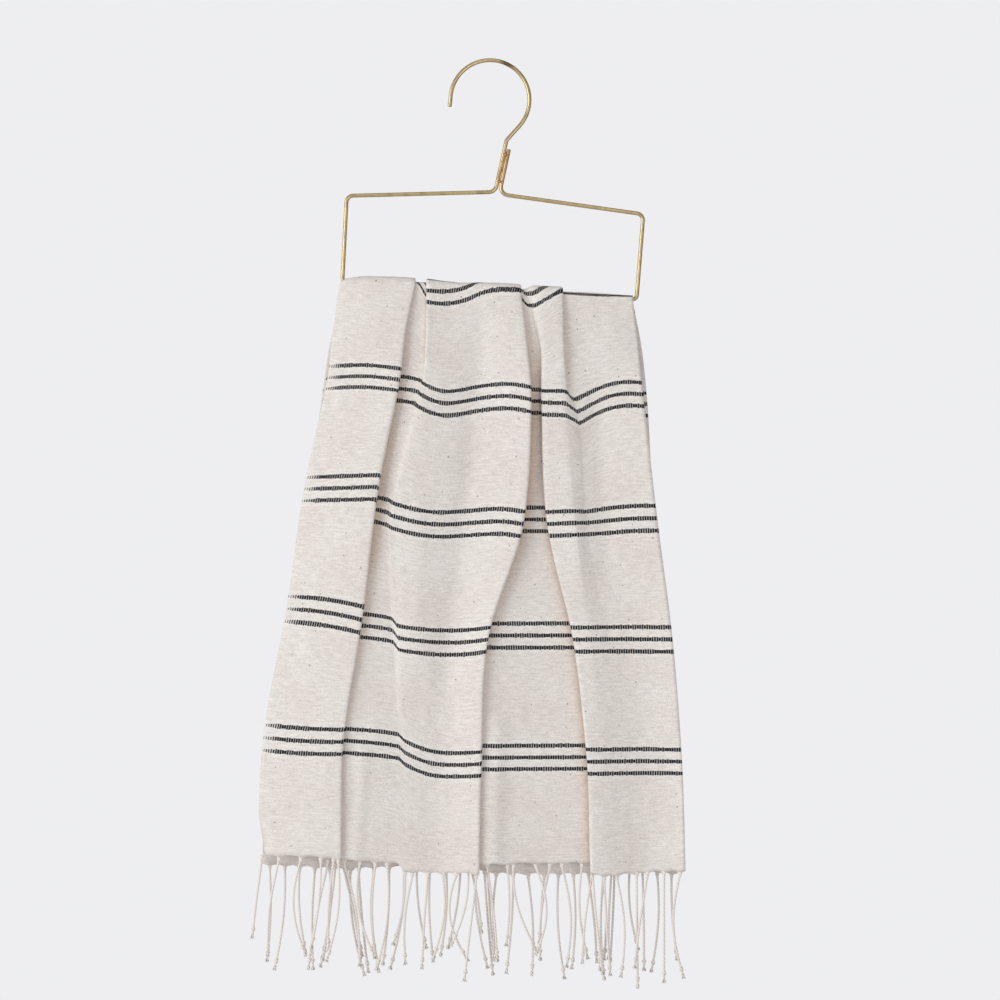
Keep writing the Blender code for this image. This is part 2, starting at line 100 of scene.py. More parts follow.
# The same named folds as the part's: sections at the bar, the yoke, the stripes and the hem
SECTION_WOVEN = (0.0, 46.0, 96.0, 198.0, 299.0, 401.0, 500.0)
FOLDS: tuple[Fold, ...] = (
    Line("left selvedge", (-124, -136, -141, -161, -176, -196, -201),
         (0, 1, 2, 2, 3, 3, 3), (272, 368, 470, 581, 683)),
    Line("left panel", (-109, -108, -110, -129, -143, -162, -165),
         (4, 6, 7.5, 8.5, 9, 8.5, 8.5), (270, 367, 472, 584, 682)),
    Pleat("pleat A", 1, (-66, -74, -79, -97, -111, -127, -129), (41, 38, 35, 33, 27, 19, 17),
          (4, 8, 11, 13, 13, 12, 11.5), (0, 0.5, 1, 2, 6, 7.2, 7.2), (0, 0.5, 1, 1, 2, 2, 2),
          (2, 2.5, 3, 3, 2.6, 2.4, 2.4), (274, 366, 479, 584, 684), (281, 385, 484, 583, 685)),
    Line("strip beside A", (-62.5, -66, -72, -93, -99, -100, -101),
         (0.8, 2.5, 4, 4, 6, 6.6, 6.6), (282, 387, 485.5, 585, 687)),
    Pleat("pleat D", -1, (-55.5, -55.5, -60, -85, -80.5, -74, -75), (8, 4, -3, -4, -5, -6, -6),
          (4, 7.5, 9, 9, 7.5, 4.8, 4.8), (0.5, 2.5, 5.5, 5.5, 5, 5, 5), (0.5, 2.5, 0, 0, 0, 0, 0),
          (1.6, 2, 1, 1, 1, 1, 1), (284, 388, 488, 588, 689), (287, 391, 495, 594, 696)),
    Line("dip", (-38, -40, -41, -52, -55, -58, -60),
         (2.5, 5, 7.5, 8, 7.5, 4, 4), (297, 400, 498.5, 602, 697)),
    Line("valley", (-20, -17, -12, -18, -33, -42, -44),
         (2.2, 3.2, 2.8, 2.8, 2, 1.6, 2), (289, 397, 499.5, 605, 698)),
    Line("rise", (-6, 8, 15, 8, -14, -22, -24),
         (4.2, 6.5, 8, 8.5, 8, 7.5, 7.5), (287, 395, 498, 604, 697)),
    Pleat("pleat B", 1, (25, 30, 34, 27, -3, -9, -11), (34, 34, 32, 30, 20, 16, 14),
          (4, 9, 13, 13, 12, 11, 11), (0, 0.5, 0.5, 0.5, 5, 6.8, 6.8),
          (0, 0.5, 0.5, 0.5, 0.5, 0.5, 0.5), (2, 2.5, 3, 3, 2.6, 2.4, 2.5),
          (291, 398, 496, 603, 698), (292, 394, 493, 598, 690)),
    Line("recess", (28, 34, 39, 39, 31, 29, 29),
         (0, 0.8, 0.5, 0.5, 2.5, 4, 4), (292, 394, 493, 598, 689)),
    Pleat("pleat C", -1, (36, 43, 43, 48, 70, 82, 85), (-6, -1, 12, 11, 13, 13, 14),
          (3.9, 8.5, 9.5, 9.5, 11, 11.5, 11.5), (0.3, 1, 0.8, 1, 1.5, 2, 2),
          (0.3, 1, 0.8, 1, 1, 1.5, 1.5), (1, 2, 3, 3, 3, 3, 3),
          (292, 394, 493, 598, 689), (293.5, 398, 496, 601, 698)),
    Pleat("pleat E", 1, (61, 62, 63, 70, 84, 94, 96), (19, 11, -11, -12, -16, -20, -20),
          (4, 9, 10.5, 11.5, 11, 11, 11), (0, 2, 5.5, 6, 7.5, 7.5, 7.5), (0, 1, 0, 0, 0, 0, 0),
          (2, 2.4, 1, 1, 1, 1, 1), (294, 397, 496, 601, 699), (302, 397, 496, 601, 698)),
    Line("right panel", (92, 95, 93, 101, 119, 128, 128),
         (0.5, 3, 3.5, 4.5, 5, 5, 5), (290, 395, 496, 601, 697)),
    Line("right rim", (109, 114, 112, 122, 138, 149, 151),
         (0.3, 3.5, 6, 7, 7, 6.5, 6.5), (285, 393, 496, 601, 695)),
    Line("right selvedge", (121.5, 126, 130, 142, 155, 163, 166),
         (0, 2, 8.5, 10, 10.5, 11, 11.5), (286.5, 393, 496, 601, 695)),
)

# How much cloth has come over the bar to the front at each fold, which places the first stripes
BAR_WOVEN = {
    "left selvedge": 14.0, "left panel": 14.0, "pleat A": 13.0, "strip beside A": 9.5,
    "pleat D": -9.1, "dip": -9.1, "valley": -5.0, "rise": 5.0, "pleat B": 6.0,
    "recess": -6.6, "pleat C": -6.6, "pleat E": 7.2, "right panel": 6.7, "right rim": 8.2,
    "right selvedge": 9.4,
}
PLEAT_CONTROLS = 9


class Strand(NamedTuple):
    """One cord of a fringe, in millimetres.

    shift moves its root along the hem, lean is how far its end hangs to the right of the
    root, bow how far its middle stands to the right, and length its drop with knot and tuft.
    """

    shift: float
    lean: float
    bow: float
    length: float


FRONT_STRANDS = (
    Strand(-3, -8, -1, 67), Strand(-1, -9.5, -4, 82), Strand(5, 4, -8, 82),
    Strand(9, -8, 1.5, 74), Strand(6, -4, -2.5, 76), Strand(0, -9.5, 4, 84),
    Strand(0, -17, -3, 92), Strand(0, -6, 3, 84), Strand(0, 13, 5, 88),
    Strand(0, 13, -6, 80), Strand(0, 3, -4, 92), Strand(-3, -9, 4, 88),
    Strand(1, -10, 2, 60), Strand(-5, -6, -4, 76), Strand(-5, -5, -1, 79),
    Strand(-6, -8, 4, 70), Strand(-7, 10, -9, 72), Strand(-3, -10, -1, 88),
    Strand(0, -14, 3, 62), Strand(0, 9, 2, 56), Strand(1, 8.5, 2, 80),
    Strand(5, -1, 2, 67), Strand(-3, 20, -4, 72), Strand(3, 0, 9, 74),
    Strand(2, -9, -3, 66), Strand(-1, 4, 6, 86), Strand(3, 5, -4, 79),
    Strand(0, -10, -3, 82), Strand(0, -4, -2, 86), Strand(0, 8.5, 0, 84),
    Strand(3, 5, 0, 82), Strand(0, 3.5, 5, 84), Strand(4, 1, 0, 95),
    Strand(0, -11, -2, 78), Strand(2, 0, 0, 92), Strand(2, 3, -7, 88),
)

# The back hem's cords hang towards these places across
GATHERED = (-196.0, -156.0, -99.0, -48.0, 7.0, 38.0, 68.0, 98.0, 133.0, 165.0)


def linear(code: str) -> tuple[float, float, float, float]:
    """Turn an sRGB hex code into the linear colour that the nodes work in.

    Args:
        code: Six hex digits, red first.

    Returns:
        Linear red, green and blue, with an alpha of 1.
    """
    parts = [int(code[n:n + 2], 16) / 255 for n in (0, 2, 4)]
    bent = [c / 12.92 if c <= 0.04045 else ((c + 0.055) / 1.055) ** 2.4 for c in parts]
    return (bent[0], bent[1], bent[2], 1.0)


def smoothstep(low: float, high: float, value: float) -> float:
    """Rise smoothly from 0 to 1 while value goes from low to high."""
    t = min(max((value - low) / (high - low), 0.0), 1.0)
    return t * t * (3 - 2 * t)


def add_node(tree: NodeTree, kind: str, inputs: dict, **settings) -> Node:
    """Add one node with its settings, and fill its inputs by value or by link.

    Args:
        tree: The node tree.
        kind: Blender's name of the node type.
        inputs: For each input's name or number, a value, a node or an output socket.
        **settings: The node's own properties.

    Returns:
        The new node.
    """
    node = tree.nodes.new(kind)
    for key, value in settings.items():
        setattr(node, key, value)
    usable = [socket for socket in node.inputs if socket.enabled]
    for key, value in inputs.items():
        named = usable[key] if isinstance(key, int) else None
        socket = named or next(socket for socket in usable if socket.name == key)
        if isinstance(value, Node):
            value = next(out for out in value.outputs if out.enabled)
        if isinstance(value, NodeSocket):
            tree.links.new(value, socket)
        else:
            socket.default_value = value
    return node


def blank_material(name: str) -> tuple[Material, NodeTree, Node]:
    """Start a node material that holds only its output and a Principled shader.

    Args:
        name: The finish's name.

    Returns:
        The material, its node tree and its shader.
    """
    made = bpy.data.materials.new(name)
    made.use_nodes = True
    return made, made.node_tree, made.node_tree.nodes["Principled BSDF"]


def calc(tree: NodeTree, operation: str, *values) -> Node:
    """Add a math node that works on numbers, nodes or output sockets."""
    return add_node(tree, "ShaderNodeMath", dict(enumerate(values)), operation=operation)


def vector(tree: NodeTree, operation: str, *values) -> Node:
    """Add a vector math node that works on vectors, nodes or output sockets."""
    return add_node(tree, "ShaderNodeVectorMath", dict(enumerate(values)), operation=operation)


def clouds(tree: NodeTree, place: NodeOrSocket, scale: float, detail: float,
           roughness: float = 0.5) -> Node:
    """Add a noise texture at a place, with its cycles in a metre, detail and roughness."""
    return add_node(tree, "ShaderNodeTexNoise", {
        "Vector": place, "Scale": scale, "Detail": detail, "Roughness": roughness})


def ramp(tree: NodeTree, value: NodeOrSocket, start: float, end: float,
         low: Union[float, Node] = 0.0, high: float = 1.0) -> Node:
    """Add a straight ramp from low to high while a value goes from start to end.

    Args:
        tree: The node tree.
        value: The value that drives it.
        start: The value where the ramp starts.
        end: The value where it ends.
        low: What it gives up to the start.
        high: What it gives from the end on.

    Returns:
        The ramp's node.
    """
    return add_node(tree, "ShaderNodeMapRange", {
        "Value": value, "From Min": start, "From Max": end, "To Min": low, "To Max": high})


def mix(tree: NodeTree, share: NodeOrSocket, first: Colour,
        second: Colour) -> Node:
    """Add a mix of two colours, each a hex code, a linear colour or a node.

    Args:
        tree: The node tree.
        share: The share of the second colour.
        first: The colour where the share is 0.
        second: The colour where it is 1.

    Returns:
        The mix's node.
    """
    colours = [linear(end) if isinstance(end, str) else end for end in (first, second)]
    return add_node(tree, "ShaderNodeMix", {
        "Factor": share, "A": colours[0], "B": colours[1]}, data_type="RGBA")


def dress(tree: NodeTree, shader: Node, nodes: dict, values: dict) -> None:
    """Fill a shader's inputs by name.

    Args:
        tree: The node tree.
        shader: The Principled shader.
        nodes: The node that drives each linked input.
        values: The constant value of each other input.
    """
    for name, node in nodes.items():
        tree.links.new(next(out for out in node.outputs if out.enabled), shader.inputs[name])
    for name, value in values.items():
        shader.inputs[name].default_value = value


def dress_metal(tree: NodeTree, shader: Node, dark: Node,
                colours: tuple, roughness: tuple) -> None:
    """Make a shader a metal that is darker and duller in places.

    Args:
        tree: The node tree.
        shader: The Principled shader.
        dark: The share of dark metal.
        colours: Hex codes of the clean and the dark metal.
        roughness: Roughness of the clean and the dark metal.
    """
    dress(tree, shader, {"Base Color": mix(tree, dark, *colours),
                         "Roughness": ramp(tree, dark, 0.0, 1.0, *roughness)},
          {"Metallic": 1.0})


def link_object(name: str, form: BMesh, finish: Material) -> Object:
    """Make an object at the origin from a bmesh, smooth-shaded, riding on the part's body.

    Args:
        name: The piece's name.
        form: The bmesh, freed here.
        finish: Its material.

    Returns:
        The new object.
    """
    mesh = bpy.data.meshes.new(name)
    form.to_mesh(mesh)
    form.free()
    mesh.materials.append(finish)
    mesh.shade_smooth()
    made = bpy.data.objects.new(name, mesh)
    bpy.context.scene.collection.objects.link(made)
    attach(made, BODY)
    return made


@dataclass(frozen=True)
class HandwovenCotton:
    """Handwoven cotton, plain weave: matt and soft, with weft ribs, slubs, seed flecks and
    groups of three navy stripes whose weft floats read as small dashes."""

    name: str = "handwoven cotton"
    ground: str = "F2ECE6"
    bright: str = "FAF7F2"
    shade: str = "E8DED6"
    # tuck is the warm colour of painted shade, multiplied into the cloth where it lies deep
    # behind the folds.
    tuck: str = "FCE5D0"
    navy: str = "020817"
    fleck: str = "8A725C"
    roughness: float = 0.92
    specular: float = 0.12
    sheen: float = 0.02
    sheen_roughness: float = 0.5
    bump_strength: float = 0.55
    bump_depth: float = 0.35 * MM
    group_pitch: float = 101.67 * MM
    group_start: float = 96.0 * MM
    first_group: float = -460.0 * MM
    last_group: float = 450.0 * MM
    group_bright: float = 0.25
    stripe_pitch: float = 10.25 * MM
    stripe_half: float = 1.8 * MM
    stripe_halves: tuple = (0.78, 1.15)
    stripe_edge: tuple = (-0.18 * MM, 0.16 * MM)
    stripe_raised: float = 0.35
    dash_pitch: float = 2.05 * MM
    dash_half: float = 0.8 * MM
    dash_halves: tuple = (0.8, 1.2)
    dash_edge: tuple = (-0.14 * MM, 0.10 * MM)
    dash_slant: float = 0.08
    dash_shift: float = 0.73 * MM
    dash_cover: float = 0.98
    gap_cover: float = 0.4
    stripe_wobble: tuple = (60.0, 0.35 * MM)
    dash_wobble: tuple = (700.0, 0.36 * MM)
    selvedge_thin: float = 13.0 * MM
    selvedge_share: float = 0.3
    selvedge_height: float = 0.6
    rib_pitch: float = 1.4 * MM
    rib_long: float = 6.0 * MM
    slub_long: float = 16.0 * MM
    grain: float = 1.0 * MM
    grain_share: float = 0.9
    rib_wobble: tuple = (25.0, 0.5 * MM)
    # How the weave's height tints the ground: the yarn's uneven tone, and painted shade in the
    # rib hollows.
    rib_tone_and_shade: tuple = (0.36, 0.64, 0.80, 1.06)
    slub_tones: tuple = (0.6, 0.78, 0.0, 0.5)
    mottle_scale: float = 24.0
    mottle_tones: tuple = (0.3, 0.65, 0.35)
    fleck_apart: float = 15.0 * MM
    fleck_chance: float = 0.45
    fleck_size: float = 0.055
    fleck_tones: tuple = (0.0, 0.015, 0.0, 0.75)

    def make(self) -> Material:
        """Build the material on the towel's UV map, whose unit is a metre of cloth.

        Returns:
            The cotton of the towel.
        """
        made, tree, shader = blank_material(self.name)
        place = add_node(tree, "ShaderNodeUVMap", {}, uv_map="cloth")
        navy_part, near_group = self.stripes(tree, place)
        ribs, slubs, mottle = self.weave(tree, place)
        lighter = calc(tree, "MAXIMUM", slubs,
                       calc(tree, "MULTIPLY", near_group, self.group_bright))
        base = mix(tree, mottle, self.shade, self.ground)
        base = mix(tree, lighter, base, self.bright)
        # The weave's height also sets the colour: painted shade in the hollows between the weft
        # ribs, lighter on their crowns, with the yarn's uneven tone.
        base = vector(tree, "SCALE", base, ramp(tree, ribs, *self.rib_tone_and_shade))
        # Painted shade: where the cloth lies deep behind the folds, its colour is multiplied
        # towards the warm tuck colour.
        fold_shade = add_node(tree, "ShaderNodeAttribute", {}, attribute_name="fold_shade")
        shade_tint = mix(tree, fold_shade.outputs["Fac"], (1.0, 1.0, 1.0, 1.0), self.tuck)
        base = vector(tree, "MULTIPLY", base, shade_tint)
        base = mix(tree, self.flecks(tree, place), base, self.fleck)
        base = mix(tree, navy_part, base, self.navy)
        height = calc(tree, "MULTIPLY_ADD", navy_part, self.stripe_raised, ribs)
        bump = add_node(tree, "ShaderNodeBump", {
            "Strength": self.bump_strength, "Distance": self.bump_depth, "Height": height})
        dress(tree, shader, {"Base Color": base, "Normal": bump}, {
            "Roughness": self.roughness, "Specular IOR Level": self.specular,
            "Sheen Weight": self.sheen, "Sheen Roughness": self.sheen_roughness})
        return made

    def wobble(self, tree: NodeTree, place: Node, scale: float,
               size: float) -> Node:
        """Shift the cloth's coordinates a little, as hand weaving does.

        Args:
            tree: The node tree.
            place: The cloth's coordinates.
            scale: Cycles of the noise in a metre.
            size: The most that a place moves, in metres.

        Returns:
            The moved coordinates.
        """
        cloud = clouds(tree, place, scale, 2.0)
        centred = vector(tree, "SUBTRACT", cloud.outputs["Color"], (0.5, 0.5, 0.5))
        return vector(tree, "MULTIPLY_ADD", centred, (2 * size, 2 * size, 0.0), place)

    def stripes(self, tree: NodeTree,
                place: Node) -> tuple[Node, Node]:
        """Groups of three stripes of weft floats, drawn as rows of small dashes.

        Args:
            tree: The node tree.
            place: The cloth's coordinates.

        Returns:
            The share of navy, and where a group is near.
        """
        moved = self.wobble(tree, place, *self.stripe_wobble)
        fine = self.wobble(tree, moved, *self.dash_wobble)
        axes = add_node(tree, "ShaderNodeSeparateXYZ", {0: fine})
        u, v = axes.outputs[0], axes.outputs[1]
        from_group = calc(tree, "SUBTRACT", v, self.group_start)
        half = self.group_pitch / 2
        offset = calc(tree, "WRAP", from_group, -half, half)
        woven = calc(tree, "MULTIPLY", calc(tree, "GREATER_THAN", v, self.first_group),
                     calc(tree, "LESS_THAN", v, self.last_group))
        near = calc(tree, "LESS_THAN", calc(tree, "ABSOLUTE", offset), 1.5 * self.stripe_pitch)
        near = calc(tree, "MULTIPLY", near, woven)
        half = self.stripe_pitch / 2
        in_stripe = calc(tree, "WRAP", offset, -half, half)
        row = calc(tree, "ROUND", calc(tree, "DIVIDE", from_group, self.stripe_pitch))
        slant = calc(tree, "MULTIPLY_ADD", in_stripe, self.dash_slant, u)
        phase = calc(tree, "MULTIPLY_ADD", row, self.dash_shift, slant)
        column = calc(tree, "DIVIDE", phase, self.dash_pitch)
        number = calc(tree, "ROUND", column)
        pair = add_node(tree, "ShaderNodeCombineXYZ", {0: number, 1: row})
        chance = add_node(tree, "ShaderNodeTexWhiteNoise", {"Vector": pair}).outputs["Value"]
        across = calc(tree, "ABSOLUTE", calc(tree, "SUBTRACT", column, number))
        across = calc(tree, "MULTIPLY", across, self.dash_pitch)
        width = ramp(tree, chance, 0.0, 1.0, *(self.dash_half * n for n in self.dash_halves))
        thin = ramp(tree, u, 0.0, self.selvedge_thin, self.selvedge_share)
        width = calc(tree, "MULTIPLY", width, thin)
        dash = ramp(tree, calc(tree, "SUBTRACT", width, across), *self.dash_edge)
        tall = ramp(tree, chance, 1.0, 0.0, *(self.stripe_half * n for n in self.stripe_halves))
        thin = calc(tree, "MULTIPLY_ADD", thin, self.selvedge_height,
                    1 - self.selvedge_height)
        tall = calc(tree, "MULTIPLY", tall, thin)
        height = calc(tree, "ABSOLUTE", in_stripe)
        band = ramp(tree, calc(tree, "SUBTRACT", tall, height), *self.stripe_edge)
        band = calc(tree, "MULTIPLY", band, near)
        gaps = ramp(tree, thin, self.selvedge_height, 1.0, 0.0, self.gap_cover)
        cover = ramp(tree, dash, 0.0, 1.0, gaps, self.dash_cover)
        return calc(tree, "MULTIPLY", band, cover), near

    def weave(self, tree: NodeTree, place: Node
              ) -> tuple[Node, Node, Node]:
        """Weft ribs, slubs and the uneven tone of hand-spun yarn. The real threads are about
        0.8 mm; the ribs are drawn wider so that they show at this distance.

        Args:
            tree: The node tree.
            place: The cloth's coordinates.

        Returns:
            The weave's height, the share of slubs and the share of light ground.
        """
        moved = self.wobble(tree, place, *self.rib_wobble)
        long, longer = (vector(tree, "MULTIPLY", moved, (self.rib_pitch / run, 1.0, 1.0))
                        for run in (self.rib_long, self.slub_long))
        ribs = clouds(tree, long, 0.75 / self.rib_pitch, 2.0, 0.6)
        grain = clouds(tree, moved, 0.75 / self.grain, 2.0)
        height = calc(tree, "MULTIPLY_ADD", grain, self.grain_share, ribs)
        height = calc(tree, "MULTIPLY", height, 1 / (1 + self.grain_share))
        slub = ramp(tree, clouds(tree, longer, 0.55 / self.rib_pitch, 1.0), *self.slub_tones)
        mottle = ramp(tree, clouds(tree, place, self.mottle_scale, 4.0), *self.mottle_tones)
        return height, slub, mottle

    def flecks(self, tree: NodeTree, place: Node) -> Node:
        """Bits of seed husk spun into the yarn: small, brown and sparse.

        Args:
            tree: The node tree.
            place: The cloth's coordinates.

        Returns:
            The share of fleck.
        """
        spots = add_node(tree, "ShaderNodeTexVoronoi", {
            "Vector": place, "Scale": 1 / self.fleck_apart, "Randomness": 1.0},
            voronoi_dimensions="2D")
        hues = add_node(tree, "ShaderNodeSeparateXYZ", {0: spots.outputs["Color"]})
        size = ramp(tree, hues.outputs[0], self.fleck_chance, 1.0, 0.0, self.fleck_size)
        inside = calc(tree, "SUBTRACT", size, spots.outputs["Distance"])
        return ramp(tree, inside, *self.fleck_tones)


@dataclass(frozen=True)
class TwistedCotton:
    """Two-ply cotton cord twisted by hand from the warp ends: matt, cream, with painted shade
    darkening the grooves of the twist, and loose fibres that soften its edge."""

    name: str = "twisted cotton cord"
    light: str = "F7F2EC"
    # The darker colour is painted shade of the twist's grooves; the fibres' uneven tone also
    # reaches towards it.
    groove_shade: str = "E6DBD0"
    roughness: float = 0.93
    specular: float = 0.25
    sheen: float = 0.15
    fibre_pitch: float = 0.5 * MM
    fibre_share: float = 0.3
    bump_strength: float = 0.4
    bump_depth: float = 0.2 * MM

    def make(self) -> Material:
        """Build the material on Object coordinates and the cord's own attribute of painted shade
        in the twist's grooves.

        Returns:
            The cotton of the fringes.
        """
        made, tree, shader = blank_material(self.name)
        depth = add_node(tree, "ShaderNodeAttribute", {}, attribute_name="groove_shade")
        place = add_node(tree, "ShaderNodeTexCoord", {}).outputs["Object"]
        fibres = clouds(tree, place, 0.5 / self.fibre_pitch, 2.0)
        # Painted shade: the colour darkens in the twist's grooves; the loose fibres add uneven
        # tone on top.
        share = calc(tree, "MULTIPLY_ADD", fibres, self.fibre_share, depth.outputs["Fac"])
        bump = add_node(tree, "ShaderNodeBump", {
            "Strength": self.bump_strength, "Distance": self.bump_depth, "Height": fibres})
        dress(tree, shader, {"Base Color": mix(tree, share, self.light, self.groove_shade),
                             "Normal": bump},
              {"Roughness": self.roughness, "Specular IOR Level": self.specular,
               "Sheen Weight": self.sheen})
        return made


@dataclass(frozen=True)
class DrawnBrass:
    """Drawn brass wire, unlacquered: a soft pale gold shine, with brown tarnish in patches
    where it was bent and handled."""

    name: str = "drawn brass wire"
    metal: str = "D9C190"
    tarnish: str = "6F5B3C"
    roughness: tuple = (0.36, 0.55)
    patch_size: float = 14.0 * MM
    patch_tones: tuple = (0.5, 0.78, 0.0, 0.75)
    burn_place: tuple = (14.0 * MM, 0.0, -1.0 * MM)
    burn_reach: float = 9.0 * MM
    burn_dark: float = 0.9

    def make(self) -> Material:
        """Build the material on Object coordinates.

        Returns:
            The brass of the hanger.
        """
        made, tree, shader = blank_material(self.name)
        place = add_node(tree, "ShaderNodeTexCoord", {}).outputs["Object"]
        patches = ramp(tree, clouds(tree, place, 1 / self.patch_size, 5.0),
                       *self.patch_tones)
        away = vector(tree, "DISTANCE", place, self.burn_place).outputs["Value"]
        burn = ramp(tree, away, self.burn_reach, self.burn_reach / 3, 0.0, self.burn_dark)
        dark = calc(tree, "MAXIMUM", patches, burn)
        dress_metal(tree, shader, dark, (self.metal, self.tarnish), self.roughness)
        return made


@dataclass(frozen=True)
class Braze:
    """Brazing alloy: a pinkish copper shine, a little darker and matt where the flux burnt."""

    name: str = "brazing alloy"
    metal: str = "D8A27C"
    burnt: str = "6B4029"
    roughness: tuple = (0.38, 0.6)
    patch_size: float = 4.0 * MM
    patch_tones: tuple = (0.5, 0.75, 0.0, 0.8)

    def make(self) -> Material:
        """Build the material on Object coordinates.

        Returns:
            The braze of the hanger's neck.
        """
        made, tree, shader = blank_material(self.name)
        place = add_node(tree, "ShaderNodeTexCoord", {}).outputs["Object"]
        dark = ramp(tree, clouds(tree, place, 0.5 / self.patch_size, 2.0), *self.patch_tones)
        dress_metal(tree, shader, dark, (self.metal, self.burnt), self.roughness)
        return made


def round_rims(form: BMesh, radius: float) -> None:
    """Round the rims of a rod's two flat ends, by a radius in millimetres."""
    rims = [edge for edge in form.edges
            if any(len(face.verts) > 4 for face in edge.link_faces)]
    bmesh.ops.bevel(form, geom=rims, offset=radius * MM, segments=3, profile=0.5,
                    affect="EDGES", material=-1)


@dataclass
class WireHanger:
    """The hanger: one round wire bent to a hook, a neck and a frame, brazed at the neck."""

    wire: float = 3.4
    hook_outside: float = 71.4
    hook_centre_across: float = -1.3
    hook_tail: float = 6.0
    hook_tail_out: float = 0.8
    hook_leaves_at: float = 42.0
    hook_steps: int = 48
    corner_steps: int = 10
    tilt: float = 3.4
    bar_left: float = -128.4
    bar_right: float = 124.9
    bar_fall_at_origin: float = 197.1
    left_shoulder: tuple = (-124.6, 115.1)
    right_shoulder: tuple = (130.8, 131.0)
    neck_top: tuple = (12.9, 67.4)
    neck_foot: tuple = (3.2, 111.8)
    stem_apart: float = 3.8
    stem_slope: float = 0.217
    stem_foot: tuple = (4.7, 105.0)
    stem_top_fall: float = 75.0
    second_foot_fall: float = 113.6
    bar_bend: float = 4.0
    shoulder_bend: float = 6.0
    foot_bend: float = 7.0
    end_round: float = 1.0
    seam_falls: tuple = (77.0, 101.0)
    seam_forward: float = 0.8
    seam_radius: float = 0.55
    seam_round: float = 0.33

    def bar_fall(self, across: float) -> float:
        """Fall of the bar's axis at a place across, along the hanger's tilt."""
        return self.bar_fall_at_origin + across * math.tan(math.radians(self.tilt))

    def stem_across(self, fall: float) -> float:
        """Place across of the neck's left stem at a fall."""
        return self.stem_foot[0] + self.stem_slope * (self.stem_foot[1] - fall)

    def corner(self, before: Vector, corner: Vector, after: Vector,
               radius: float) -> list[Vector]:
        """Round one corner of the bent wire.

        Args:
            before: The stop before the corner.
            corner: The corner itself.
            after: The stop after it.
            radius: Radius of the bend.

        Returns:
            Points along the arc.
        """
        back = (before - corner).normalized()
        ahead = (after - corner).normalized()
        half = back.angle(ahead) / 2
        start = corner + back * radius / math.tan(half)
        end = corner + ahead * radius / math.tan(half)
        centre = corner + (back + ahead).normalized() * radius / math.sin(half)
        turns = [step / self.corner_steps for step in range(self.corner_steps + 1)]
        return [centre + (start - centre).slerp(end - centre, t).normalized() * radius
                for t in turns]

    def route(self) -> list[Vector]:
        """Centre line of the wire, from the hook's tip round the frame to the second stem.

        Returns:
            Points in metres.
        """
        def at(across: float, fall: float) -> Vector:
            return Vector((across * MM, 0.0, -fall * MM))

        radius = (self.hook_outside - self.wire) / 2
        centre = at(self.hook_centre_across, radius - self.wire / 2)
        route = [centre + at(-radius - self.hook_tail_out, self.hook_tail)]
        for step in range(self.hook_steps + 1):
            turn = math.radians(180 - (180 + self.hook_leaves_at) * step / self.hook_steps)
            route.append(centre + at(radius * math.cos(turn), -radius * math.sin(turn)))
        second = self.stem_apart * math.hypot(1, self.stem_slope)
        second_foot = self.stem_across(self.second_foot_fall) + second
        corners = (
            (at(*self.neck_top), self.shoulder_bend),
            (at(*self.neck_foot), self.foot_bend),
            (at(*self.left_shoulder), self.shoulder_bend),
            (at(self.bar_left, self.bar_fall(self.bar_left)), self.bar_bend),
            (at(self.bar_right, self.bar_fall(self.bar_right)), self.bar_bend),
            (at(*self.right_shoulder), self.shoulder_bend),
            (at(second_foot, self.second_foot_fall), self.foot_bend),
        )
        top = at(self.stem_across(self.stem_top_fall) + second, self.stem_top_fall)
        stops = [route[-1]] + [corner for corner, _ in corners] + [top]
        for index, (corner, bend) in enumerate(corners):
            route += self.corner(stops[index], corner, stops[index + 2], bend * MM)
        return route + [top]

    def build_wire(self, finish: Material) -> Object:
        """Sweep the wire along its route and round its two cut ends.

        Args:
            finish: The brass.

        Returns:
            The wire.
        """
        route = self.route()
        form = bmesh.new()
        first = (route[1] - route[0]).normalized()
        frame_x = Vector((0.0, 1.0, 0.0))
        turned = Matrix((frame_x, first.cross(frame_x), first)).transposed().to_4x4()
        bmesh.ops.create_circle(form, cap_ends=True, segments=16,
                                radius=self.wire / 2 * MM,
                                matrix=Matrix.Translation(route[0]) @ turned)
        ring = list(form.faces)[0]
        way = first
        for here, following in zip(route[1:], route[2:] + [None]):
            last_way, old = way, ring.calc_center_median()
            if following is None:
                way = (here - route[-2]).normalized()
            else:
                way = ((here - old).normalized()
                       + (following - here).normalized()).normalized()
            ring = bmesh.ops.extrude_discrete_faces(form, faces=[ring])["faces"][0]
            turn = last_way.rotation_difference(way).to_matrix()
            bmesh.ops.rotate(form, verts=ring.verts, cent=old, matrix=turn)
            bmesh.ops.translate(form, verts=ring.verts, vec=here - old)
        bmesh.ops.recalc_face_normals(form, faces=form.faces)
        round_rims(form, self.end_round)
        made = link_object("brass_wire_hanger", form, finish)
        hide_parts("hanger_wire")
        return made

    def build_seam(self, finish: Material) -> Object:
        """Run the seam of braze down the groove between the neck's two stems, in front.

        Args:
            finish: The braze.

        Returns:
            The seam.
        """
        top, foot = self.seam_falls
        half = self.stem_apart * math.hypot(1, self.stem_slope) / 2
        ends = [Vector(((self.stem_across(fall) + half) * MM, -self.seam_forward * MM,
                        -fall * MM)) for fall in (top, foot)]
        way = ends[0] - ends[1]
        turn = Vector((0.0, 0.0, 1.0)).rotation_difference(way).to_matrix().to_4x4()
        form = bmesh.new()
        bmesh.ops.create_cone(form, cap_ends=True, segments=12, radius1=self.seam_radius * MM,
                              radius2=self.seam_radius * MM, depth=way.length,
                              matrix=Matrix.Translation((ends[0] + ends[1]) / 2) @ turn)
        round_rims(form, self.seam_round)
        return link_object("neck_braze_seam", form, finish)


